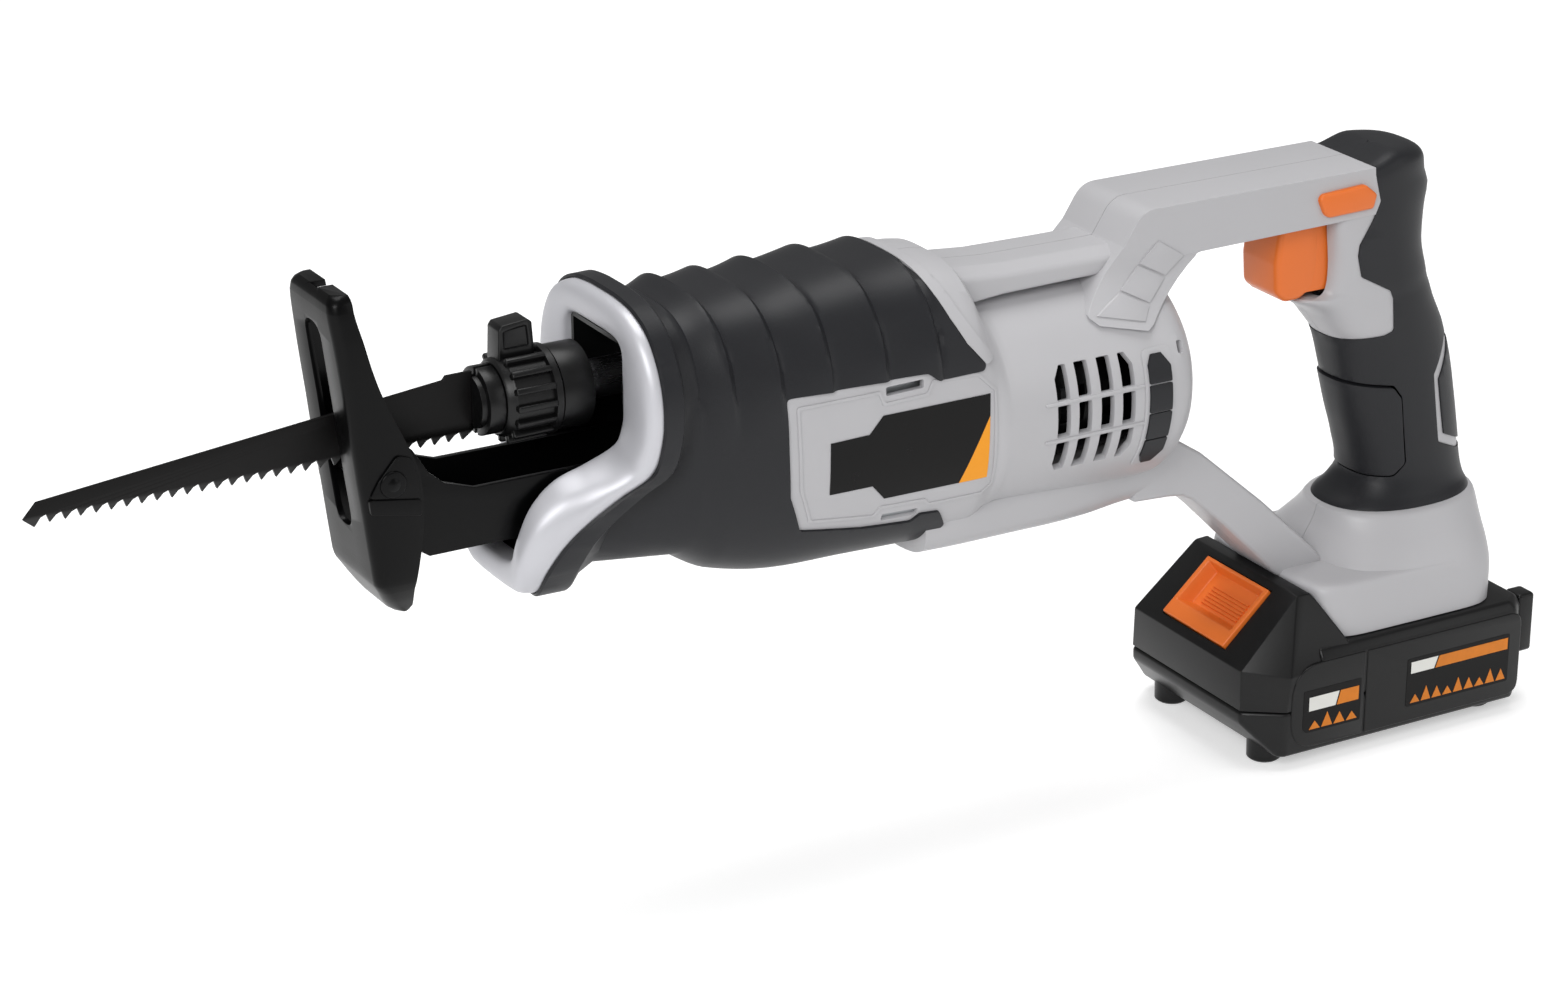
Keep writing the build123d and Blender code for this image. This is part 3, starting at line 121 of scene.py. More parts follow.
def along(table: Sequence[tuple[float, ...]], at: float) -> list[float]:
    """Read a table of stations by smooth interpolation on its first column.

    Args:
        table: rows that start with the station's place, in rising order.
        at: where to read.

    Returns:
        The other columns at that place.
    """
    if at <= table[0][0]:
        return list(table[0][1:])
    if at >= table[-1][0]:
        return list(table[-1][1:])
    i = max(k for k in range(len(table) - 1) if table[k][0] <= at)
    a, b = table[i], table[i + 1]
    before = table[i - 1] if i > 0 else a
    after = table[i + 2] if i + 2 < len(table) else b
    span = b[0] - a[0]
    t = (at - a[0]) / span
    values = []
    for c in range(1, len(a)):
        slope_a = (b[c] - before[c]) / max(b[0] - before[0], 1e-6) * span
        slope_b = (after[c] - a[c]) / max(after[0] - a[0], 1e-6) * span
        h00, h10 = 2 * t ** 3 - 3 * t ** 2 + 1, t ** 3 - 2 * t ** 2 + t
        h01, h11 = -2 * t ** 3 + 3 * t ** 2, t ** 3 - t ** 2
        values.append(h00 * a[c] + h10 * slope_a + h01 * b[c] + h11 * slope_b)
    return values


def inside(outline: Outline, x: float, z: float) -> bool:
    """Whether a point of the side view lies inside a closed outline."""
    found = False
    for i, (x1, z1) in enumerate(outline):
        x0, z0 = outline[i - 1]
        if (z0 > z) != (z1 > z) and x < (x1 - x0) * (z - z0) / (z1 - z0) + x0:
            found = not found
    return found


def oval(half_w: float, half_h: float, power: float, count: int) -> list[Point2]:
    """A closed superellipse of (y, z) points, anticlockwise from +Y."""
    return [(bulged(math.cos(a), power) * half_w, bulged(math.sin(a), power) * half_h) for a in turns(count)]


def turns(count: int) -> list[float]:
    """Evenly spaced angles round a full turn."""
    return [2 * math.pi * k / count for k in range(count)]


def bulged(share: float, power: float) -> float:
    """A sine or cosine pushed outwards, as a superellipse of that power needs it."""
    return math.copysign(abs(share) ** (2 / power), share)


def eased(share: float) -> float:
    """A share held between 0 and 1, with a soft start and end."""
    held = min(max(share, 0.0), 1.0)
    return held * held * (3 - 2 * held)


def circle(x: float, z: float, r: float, count: int) -> list[Point3]:
    """A ring of points about an axis along X."""
    return [(x, r * math.cos(a), z + r * math.sin(a)) for a in turns(count)]


# ------------------------------------------------------------------ mesh building
@contextmanager
def editing(mesh: bpy.types.Mesh) -> Iterator[bmesh.types.BMesh]:
    """Open a mesh for editing and write the result back."""
    bm = bmesh.new()
    bm.from_mesh(mesh)
    yield bm
    bm.to_mesh(mesh)
    bm.free()


def linked(name: str, data: bpy.types.ID) -> Piece:
    """Put a mesh, light or camera into the scene as a new object."""
    piece = bpy.data.objects.new(name, data)
    bpy.context.scene.collection.objects.link(piece)
    return piece


@dataclass
class Shape:
    """A mesh being built in millimetres, measured from the saw's own datum."""

    verts: list[Point3] = field(default_factory=list)
    faces: list[tuple[int, ...]] = field(default_factory=list)

    def add(self, verts: Iterable[Sequence[float]], faces: Iterable[Sequence[int]]) -> "Shape":
        """Append corners and the faces that use them."""
        base = len(self.verts)
        self.verts.extend(tuple(v) for v in verts)
        self.faces.extend(tuple(base + i for i in f) for f in faces)
        return self

    def walled(self, low: Sequence[Point3], high: Sequence[Point3]) -> "Shape":
        """A solid between two matching outlines."""
        n = len(low)
        faces = [tuple(range(n)), tuple(range(2 * n - 1, n - 1, -1))]
        faces += [(i, i + n, (i + 1) % n + n, (i + 1) % n) for i in range(n)]
        return self.add([*low, *high], faces)

    def prism(self, outline: Outline, y0: float, y1: float) -> "Shape":
        """A side outline of (x, z) corners made solid from y0 to y1."""
        return self.walled([(x, y0, z) for x, z in outline], [(x, y1, z) for x, z in outline])

    def pair(self, outline: Outline, near: float, far: float) -> "Shape":
        """The same prism on both sides of the centre plane, from near to far of it."""
        return self.prism(outline, -far, -near).prism(outline, near, far)

    def plate(self, outline: Outline, z0: float, z1: float) -> "Shape":
        """A plan outline of (x, y) corners made solid from z0 to z1."""
        return self.walled([(x, y, z0) for x, y in outline], [(x, y, z1) for x, y in outline])

    def loft(self, rings: Sequence[Sequence[Sequence[float]]], closed: bool = True,
             caps: bool = True) -> "Shape":
        """Skin a row of rings that have the same number of points."""
        n = len(rings[0])
        verts = [p for ring in rings for p in ring]
        faces = []
        last = n if closed else n - 1
        for r in range(len(rings) - 1):
            for i in range(last):
                j = (i + 1) % n
                faces.append((r * n + i, r * n + j, (r + 1) * n + j, (r + 1) * n + i))
        if caps and closed:
            faces.append(tuple(range(n - 1, -1, -1)))
            faces.append(tuple((len(rings) - 1) * n + i for i in range(n)))
        return self.add(verts, faces)

    def lathe(self, profile: Outline, z: float, count: int) -> "Shape":
        """Turn (x, radius) points about an axis along X."""
        return self.loft([circle(x, z, r, count) for x, r in profile])

    def block(self, low: Point3, high: Point3) -> "Shape":
        """A box between two corners."""
        return self.prism([(low[0], low[2]), (high[0], low[2]), (high[0], high[2]), (low[0], high[2])],
                          low[1], high[1])

    def mirrored(self) -> "Shape":
        """This shape and its copy on the other side of the centre plane."""
        return self.add([(x, -y, z) for x, y, z in self.verts], [f[::-1] for f in self.faces])

    def obj(self, name: str) -> Piece:
        """Make the Blender object, in metres, in the row's frame."""
        mesh = bpy.data.meshes.new(name)
        mesh.from_pydata([((x + DATUM_X) * MM, y * MM, z * MM) for x, y, z in self.verts], [], self.faces)
        with editing(mesh) as bm:
            bmesh.ops.remove_doubles(bm, verts=bm.verts, dist=1e-6)
            bmesh.ops.recalc_face_normals(bm, faces=bm.faces)
        return linked(name, mesh)


def settle(piece: Piece, sharp_deg: float = SHARP_DEG) -> Piece:
    """Turn a piece's modifiers into plain mesh and shade it smooth between sharp edges."""
    if piece.modifiers:
        deps = bpy.context.evaluated_depsgraph_get()
        mesh = bpy.data.meshes.new_from_object(piece.evaluated_get(deps), depsgraph=deps)
        piece.modifiers.clear()
        old, piece.data = piece.data, mesh
        bpy.data.meshes.remove(old)
    piece.data.shade_smooth()
    piece.data.set_sharp_from_angle(angle=math.radians(sharp_deg))
    return piece


def modified(piece: Piece, kind: str, **settings: object) -> Piece:
    """Add a modifier with its settings."""
    mod = piece.modifiers.new(kind.lower(), kind)
    for key, value in settings.items():
        setattr(mod, key, value)
    return piece


def bevelled(piece: Piece, width: float, segments: int = 3, angle: float = 30.0) -> Piece:
    """Round a piece's edges by width millimetres and settle it."""
    modified(piece, "BEVEL", width=width * MM, segments=segments, limit_method="ANGLE",
             angle_limit=math.radians(angle), use_clamp_overlap=True, miter_outer="MITER_ARC")
    return settle(piece)


def thickened(piece: Piece, wall: float, proud: float = 0.0, edge: float = 0.3) -> Piece:
    """Give an open skin a wall and settle it.

    Args:
        piece: the open mesh, its normals outwards.
        wall: full thickness in millimetres.
        proud: how far the outer face stands above the given skin.
        edge: rounding of the rim, in millimetres.

    Returns:
        The settled piece.
    """
    modified(piece, "SOLIDIFY", thickness=wall * MM, offset=-1 + 2 * proud / wall, use_even_offset=False)
    return bevelled(piece, edge, 2, 50) if edge > 0 else settle(piece)


def carve(piece: Piece, cutter: Piece) -> Piece:
    """Cut one solid out of another and drop the cutter."""
    settle(modified(piece, "BOOLEAN", operation="DIFFERENCE", object=cutter, solver="EXACT"))
    bpy.data.objects.remove(cutter)
    return piece


def joined(name: str, *items: Piece) -> Piece:
    """Join finished objects into one piece, keeping each one's finish."""
    mesh = bpy.data.meshes.new(name)
    slots: list[bpy.types.Material] = []
    with editing(mesh) as bm:
        for item in items:
            own = [slot.material for slot in item.material_slots]
            slots += [material for material in own if material not in slots]
            first = len(bm.faces)
            bm.from_mesh(item.data)
            bm.faces.ensure_lookup_table()
            for face in bm.faces[first:]:
                face.material_index = slots.index(own[face.material_index]) if own else 0
    piece = linked(name, mesh)
    for material in slots:
        mesh.materials.append(material)
    for item in items:
        bpy.data.objects.remove(item)
    mesh.set_sharp_from_angle(angle=math.radians(SHARP_DEG))
    return piece


def cut_region(piece: Piece, outline: Outline, keep_inside: bool, beyond_y: float = -1.0) -> Piece:
    """Trim an open skin to a region of the side view.

    Args:
        piece: the skin.
        outline: closed outline of (x, z) corners, in millimetres from the datum.
        keep_inside: keep what lies inside the outline, or what lies outside it.
        beyond_y: only faces farther than this from the centre plane are taken away.

    Returns:
        The trimmed piece.
    """
    with editing(piece.data) as bm:
        for i, (x1, z1) in enumerate(outline):
            x0, z0 = outline[i - 1]
            length = math.hypot(x1 - x0, z1 - z0)
            normal = Vector(((z1 - z0) / length, 0, -(x1 - x0) / length))
            low = min(x0, x1) - 1, min(z0, z1) - 1
            high = max(x0, x1) + 1, max(z0, z1) + 1
            near = []
            for face in bm.faces:
                xs = [v.co.x / MM - DATUM_X for v in face.verts]
                zs = [v.co.z / MM for v in face.verts]
                if max(xs) > low[0] and min(xs) < high[0] and max(zs) > low[1] and min(zs) < high[1]:
                    near.append(face)
            geom = list({e for f in near for e in f.edges}) + list({v for f in near for v in f.verts}) + near
            bmesh.ops.bisect_plane(bm, geom=geom, dist=1e-7, plane_no=normal,
                                   plane_co=((x0 + DATUM_X) * MM, 0, z0 * MM))
        doomed = []
        for face in bm.faces:
            x, y, z = face.calc_center_median() / MM
            if abs(y) > beyond_y and inside(outline, x - DATUM_X, z) != keep_inside:
                doomed.append(face)
        bmesh.ops.delete(bm, geom=doomed, context="FACES")
        bmesh.ops.delete(bm, geom=[v for v in bm.verts if not v.link_faces], context="VERTS")
    return piece


def half_of(piece: Piece, name: str, side: float) -> Piece:
    """The half of a closed shell on one side of the centre plane, with its cut closed.

    Args:
        piece: the whole shell.
        name: name of the half.
        side: -1 for the left half, +1 for the right one.

    Returns:
        The half shell.
    """
    half = linked(name, piece.data.copy())
    with editing(half.data) as bm:
        bmesh.ops.bisect_plane(bm, geom=bm.verts[:] + bm.edges[:] + bm.faces[:], dist=1e-7, clear_outer=True,
                               plane_co=(0, side * SEAM_GAP * MM, 0), plane_no=(0, -side, 0))
        bmesh.ops.holes_fill(bm, edges=[e for e in bm.edges if e.is_boundary], sides=0)
    half.data.set_sharp_from_angle(angle=math.radians(SHARP_DEG))
    return half


def softened(node: str, name: str, width: float, segments: int = 2) -> Piece:
    """A copy of a CAD node with its edges rounded.

    Args:
        node: the CAD node.
        name: name of the new piece.
        width: edge rounding in millimetres.
        segments: steps in each rounded edge.

    Returns:
        The rounded copy, at the origin.
    """
    mesh = bpy.data.meshes.new(name)
    with editing(mesh) as bm:
        bm.from_mesh(frame["nodes"][node].data)
        bmesh.ops.remove_doubles(bm, verts=bm.verts, dist=2e-6)
        bmesh.ops.dissolve_limit(bm, angle_limit=math.radians(1.5), verts=bm.verts, edges=bm.edges)
    return bevelled(linked(name, mesh), width, segments, 28)


# ------------------------------------------------------------------ node trees
class Wiring:
    """Adds nodes to a tree and wires them together."""

    def __init__(self, tree: bpy.types.NodeTree) -> None:
        """Keep the tree's nodes and links at hand."""
        self.nodes, self.links = tree.nodes, tree.links

    def add(self, kind: str, feeds: dict[str | int, object] | None = None,
            **settings: object) -> bpy.types.Node:
        """Add a node.

        Args:
            kind: the node's type.
            feeds: what each input gets: a value, a node or one of its outputs.
            settings: the node's own properties.

        Returns:
            The new node.
        """
        node = self.nodes.new(kind)
        for key, value in settings.items():
            setattr(node, key, value)
        return self.feed(node, feeds or {})

    def feed(self, node: bpy.types.Node, feeds: dict[str | int, object]) -> bpy.types.Node:
        """Set or wire a node's inputs."""
        for key, value in feeds.items():
            if isinstance(value, bpy.types.Node):
                value = value.outputs[0]
            if isinstance(value, bpy.types.NodeSocket):
                self.links.new(value, node.inputs[key])
            else:
                node.inputs[key].default_value = value
        return node

    def maths(self, operation: str, *terms: object) -> bpy.types.Node:
        """A maths node with its terms."""
        return self.add("ShaderNodeMath", dict(enumerate(terms)), operation=operation)


def node_group(name: str, **sockets: tuple[str, object]) -> tuple[bpy.types.NodeTree, Wiring]:
    """A geometry node tree with a geometry in and out.

    Args:
        name: the tree's name.
        sockets: type and default of each further input.

    Returns:
        The tree and its wiring, with the group's input and output nodes placed.
    """
    tree = bpy.data.node_groups.new(name, "GeometryNodeTree")
    tree.interface.new_socket("Geometry", in_out="INPUT", socket_type="NodeSocketGeometry")
    for label, (kind, value) in {**sockets, "Material": ("Material", None)}.items():
        item = tree.interface.new_socket(label, in_out="INPUT", socket_type="NodeSocket" + kind)
        if value is not None:
            item.default_value = value
    tree.interface.new_socket("Geometry", in_out="OUTPUT", socket_type="NodeSocketGeometry")
    tree.nodes.new("NodeGroupInput").name = "in"
    tree.nodes.new("NodeGroupOutput").name = "out"
    return tree, Wiring(tree)


def finished(tree: bpy.types.NodeTree, wires: Wiring, instances: bpy.types.Node) -> bpy.types.NodeTree:
    """End a tree in Realize Instances and Set Material."""
    solid = wires.add("GeometryNodeRealizeInstances", {0: instances})
    material = tree.nodes["in"].outputs["Material"]
    coated = wires.add("GeometryNodeSetMaterial", {"Geometry": solid, "Material": material})
    wires.feed(tree.nodes["out"], {0: coated})
    return tree


def row_tree() -> bpy.types.NodeTree:
    """Repeat the incoming element along a straight row."""
    tree, wires = node_group("row", Count=("Int", 2), Step=("Vector", (0.01, 0, 0)))
    given = tree.nodes["in"].outputs
    offsets = {"Count": given["Count"], "Offset": given["Step"]}
    line = wires.add("GeometryNodeMeshLine", offsets, mode="OFFSET")
    spread = wires.add("GeometryNodeInstanceOnPoints", {"Points": line, "Instance": given["Geometry"]})
    return finished(tree, wires, spread)


def ring_tree() -> bpy.types.NodeTree:
    """Repeat the incoming element round an axis along X."""
    tree, wires = node_group("ring", Count=("Int", 8), Centre=("Vector", (0, 0, 0)),
                             Turn=("Float", 2 * math.pi))
    given = tree.nodes["in"].outputs
    line = wires.add("GeometryNodeMeshLine", {"Count": given["Count"], "Offset": (0, 0, 0)}, mode="OFFSET")
    spread = wires.add("GeometryNodeInstanceOnPoints", {"Points": line, "Instance": given["Geometry"]})
    share = wires.maths("DIVIDE", wires.add("GeometryNodeInputIndex"), given["Count"])
    angle = wires.maths("MULTIPLY", share, given["Turn"])
    turn = wires.add("GeometryNodeRotateInstances", {
        "Instances": spread, "Rotation": wires.add("ShaderNodeCombineXYZ", {"X": angle}),
        "Pivot Point": given["Centre"], "Local Space": False})
    return finished(tree, wires, turn)


def place_tree() -> bpy.types.NodeTree:
    """Put an element on every point of the incoming mesh."""
    tree, wires = node_group("place", Element=("Object", None), Size=("Float", 1.0))
    given = tree.nodes["in"].outputs
    element = wires.add("GeometryNodeObjectInfo", {"Object": given["Element"]}).outputs["Geometry"]
    spread = wires.add("GeometryNodeInstanceOnPoints",
                       {"Points": given["Geometry"], "Instance": element, "Scale": given["Size"]})
    return finished(tree, wires, spread)


class Pattern(Enum):
    """The ways a small element is repeated."""

    ROW = "row"
    RING = "ring"
    PLACE = "place"


TREES = {Pattern.ROW: row_tree(), Pattern.RING: ring_tree(), Pattern.PLACE: place_tree()}


def repeated(piece: Piece, pattern: Pattern, **values: object) -> Piece:
    """Repeat a piece with a geometry node tree and turn the result into plain mesh.

    Args:
        piece: the element, or the points for Pattern.PLACE.
        pattern: which tree to use.
        values: the tree's inputs by name.

    Returns:
        The same object, now holding the whole row, ring or set.
    """
    tree = TREES[pattern]
    mod = piece.modifiers.new(pattern.value, "NODES")
    mod.node_group = tree
    for item in tree.interface.items_tree:
        if item.in_out == "INPUT" and item.name in values:
            mod[item.identifier] = values[item.name]
    return settle(piece)


# ------------------------------------------------------------------ finishes
class Grain(Enum):
    """Fine relief of a finish: noise scale, bump distance in metres and stretch along X."""

    MOULDED = (2600.0, 0.00003, 1.0)
    RUBBER = (1900.0, 0.00006, 1.0)
    GLOSS = (240.0, 0.000006, 1.0)
    BRUSHED = (900.0, 0.00002, 0.06)
    CAST = (700.0, 0.00008, 1.0)
    PAINT = (1100.0, 0.00002, 1.0)


@dataclass(frozen=True)
class Finish:
    """One surface finish: its colour, sheen and fine relief."""

    name: str
    colour: tuple[float, float, float]
    roughness: float
    grain: Grain
    metallic: float = 0.0
    coat: float = 0.0
    spread: float = 0.05
    edge: float = 0.0
    specular: float = 0.5

    def linear(self, share: float = 1.0) -> tuple[float, float, float, float]:
        """The colour in linear light, lightened or darkened by a share."""
        tones = [min(max(c * share, 0), 1) for c in self.colour]
        return tuple(c / 12.92 if c <= 0.04045 else ((c + 0.055) / 1.055) ** 2.4 for c in tones) + (1.0,)

    def material(self) -> bpy.types.Material:
        """Build the node material, or return it if it is already built."""
        title = "finish_" + self.name
        if title in bpy.data.materials:
            return bpy.data.materials[title]
        mat = bpy.data.materials.new(title)
        mat.use_nodes = True
        wires = Wiring(mat.node_tree)
        scale, depth, stretch = self.grain.value
        place = wires.add("ShaderNodeTexCoord").outputs["Object"]
        mapping = wires.add("ShaderNodeMapping", {"Vector": place, "Scale": (stretch, 1, 1)})
        fine = wires.add("ShaderNodeTexNoise", {"Vector": mapping, "Scale": scale, "Detail": 3.0})
        broad = wires.add("ShaderNodeTexNoise", {"Vector": place, "Scale": 38.0, "Detail": 4.0})
        faint = wires.maths("MULTIPLY", fine.outputs["Fac"], 0.4)
        blend = wires.maths("MULTIPLY_ADD", broad.outputs["Fac"], 0.6, faint)
        tone = wires.add("ShaderNodeMix", {
            "A": self.linear(1 - self.spread), "B": self.linear(1 + self.spread), "Factor": blend},
            data_type="RGBA")
        rough = wires.add("ShaderNodeMapRange", {"Value": blend, "To Min": max(self.roughness - 0.06, 0.03),
                                                 "To Max": min(self.roughness + 0.08, 1.0)})
        bump = wires.add("ShaderNodeBump", {
            "Strength": 0.55, "Distance": depth, "Height": fine.outputs["Fac"]})
        if self.edge > 0:
            wires.feed(bump, {"Normal": wires.add("ShaderNodeBevel", {"Radius": self.edge * MM})})
        wires.feed(wires.nodes["Principled BSDF"], {
            "Base Color": tone.outputs["Result"], "Roughness": rough, "Normal": bump,
            "Metallic": self.metallic, "Coat Weight": self.coat, "Coat Roughness": 0.12,
            "Specular IOR Level": self.specular})
        return mat


GREY = Finish("grey_plastic", (0.715, 0.712, 0.722), 0.38, Grain.MOULDED, spread=0.012)
SILVER = Finish("silver_bezel", (0.775, 0.775, 0.795), 0.42, Grain.GLOSS, metallic=0.3, spread=0.012)
CHARCOAL = Finish("charcoal_rubber", (0.118, 0.12, 0.132), 0.44, Grain.RUBBER, spread=0.08, specular=0.28)
BLACK = Finish("black_plastic", (0.045, 0.045, 0.047), 0.34, Grain.MOULDED, spread=0.08, specular=0.3)
ORANGE = Finish("orange_plastic", (0.90, 0.45, 0.17), 0.36, Grain.MOULDED, spread=0.02, specular=0.4)
AMBER = Finish("amber_print", (0.96, 0.62, 0.11), 0.3, Grain.GLOSS, spread=0.02, specular=0.3)
AMBER_DIM = Finish("amber_sticker", (0.82, 0.47, 0.10), 0.35, Grain.GLOSS, spread=0.18, specular=0.3)
PRINT_WHITE = Finish("white_print", (0.90, 0.90, 0.88), 0.35, Grain.GLOSS, spread=0.02, specular=0.3)
BLACK_STEEL = Finish("black_steel", (0.018, 0.018, 0.02), 0.3, Grain.PAINT, coat=0.04, spread=0.1,
                     specular=0.11)
BLADE_STEEL = Finish("blade_steel", (0.042, 0.038, 0.038), 0.4, Grain.BRUSHED, spread=0.12, specular=0.14)
BRIGHT = Finish("bright_steel", (0.62, 0.62, 0.63), 0.27, Grain.BRUSHED, metallic=1.0, edge=0.15)
GEAR_STEEL = Finish("gear_steel", (0.5, 0.5, 0.52), 0.35, Grain.BRUSHED, metallic=1.0, edge=0.15)
ALLOY = Finish("cast_alloy", (0.66, 0.67, 0.68), 0.5, Grain.CAST, metallic=0.9, edge=0.3)
BRONZE = Finish("bronze", (0.66, 0.48, 0.25), 0.4, Grain.CAST, metallic=1.0, edge=0.15)
COPPER = Finish("copper", (0.72, 0.4, 0.22), 0.3, Grain.BRUSHED, metallic=1.0, edge=0.1)
MAGNET = Finish("magnet", (0.22, 0.22, 0.23), 0.55, Grain.CAST, edge=0.2)
CARBON = Finish("carbon", (0.15, 0.15, 0.16), 0.6, Grain.CAST, edge=0.1)
BOARD = Finish("board_green", (0.08, 0.28, 0.14), 0.35, Grain.PAINT, edge=0.1)
WIRE = Finish("wire_red", (0.65, 0.08, 0.06), 0.4, Grain.RUBBER)
WRAP = Finish("cell_wrap", (0.16, 0.36, 0.62), 0.3, Grain.GLOSS, edge=0.3)
LABEL = Finish("label_dark", (0.035, 0.031, 0.031), 0.28, Grain.GLOSS, spread=0.06, specular=0.16)


def dressed(piece: Piece, finish: Finish, body: str, *nodes: str) -> Piece:
    """Give a finished piece its material and body, and hide the CAD nodes it stands for.

    Args:
        piece: the finished mesh, at the origin.
        finish: its surface finish; a piece that has its own finishes keeps them.
        body: the body it moves with.
        nodes: the CAD nodes it replaces.

    Returns:
        The same piece.
    """
    if not piece.data.materials:
        piece.data.materials.append(finish.material())
    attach(piece, body)
    if nodes:
        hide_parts(*nodes)
    LOG.info("%-24s %6d faces on %s", piece.name, len(piece.data.polygons), body)
    return piece


def painted(piece: Piece, finish: Finish) -> Piece:
    """Give a piece its finish before it is joined with others."""
    piece.data.materials.clear()
    piece.data.materials.append(finish.material())
    return piece


# ------------------------------------------------------------------ main body surfaces
@dataclass
class MainBody:
    """The gearbox and motor body that the boot and the clamshells share."""

    power: float = 2.9
    barrel_r: float = 36.5
    shoulder_x0: float = 50.0
    shoulder_x1: float = 63.0
    stations: tuple[tuple[float, float, float, float], ...] = (
        # x, half-width, top, bottom
        (-56.0, 31.8, 193.6, 119.5),
        (-50.0, 32.4, 194.0, 116.5),
        (-44.0, 33.4, 194.8, 112.0),
        (-36.0, 34.5, 195.6, 107.6),
        (-16.0, 35.8, 195.2, 103.4),
        (10.0, 36.5, 196.2, 102.6),
        (44.0, 36.5, 195.0, 101.6),
        (56.0, 36.5, 194.0, 101.4),
    )

    def ring(self, x: float, inset: float, count: int = 112) -> list[Point3]:
        """One section of the body at x, drawn in by inset.

        Args:
            x: distance behind the gear's axis.
            inset: how far the skin lies inside the body's outer face.
            count: points round the section.

        Returns:
            The section's points, anticlockwise from +Y.
        """
        half, top, low = along(self.stations, min(x, self.stations[-1][0]))
        share = eased((x - self.shoulder_x0) / (self.shoulder_x1 - self.shoulder_x0))
        mid_z = (top + low) / 2 + share * (MOTOR_Z - (top + low) / 2)
        half_h = (top - low) / 2 + share * (self.barrel_r - (top - low) / 2)
        half += share * (self.barrel_r - half)
        power = self.power + share * (2.0 - self.power)
        return [(x, y, mid_z + z) for y, z in oval(half - inset, half_h - inset, power, count)]


BODY = MainBody()


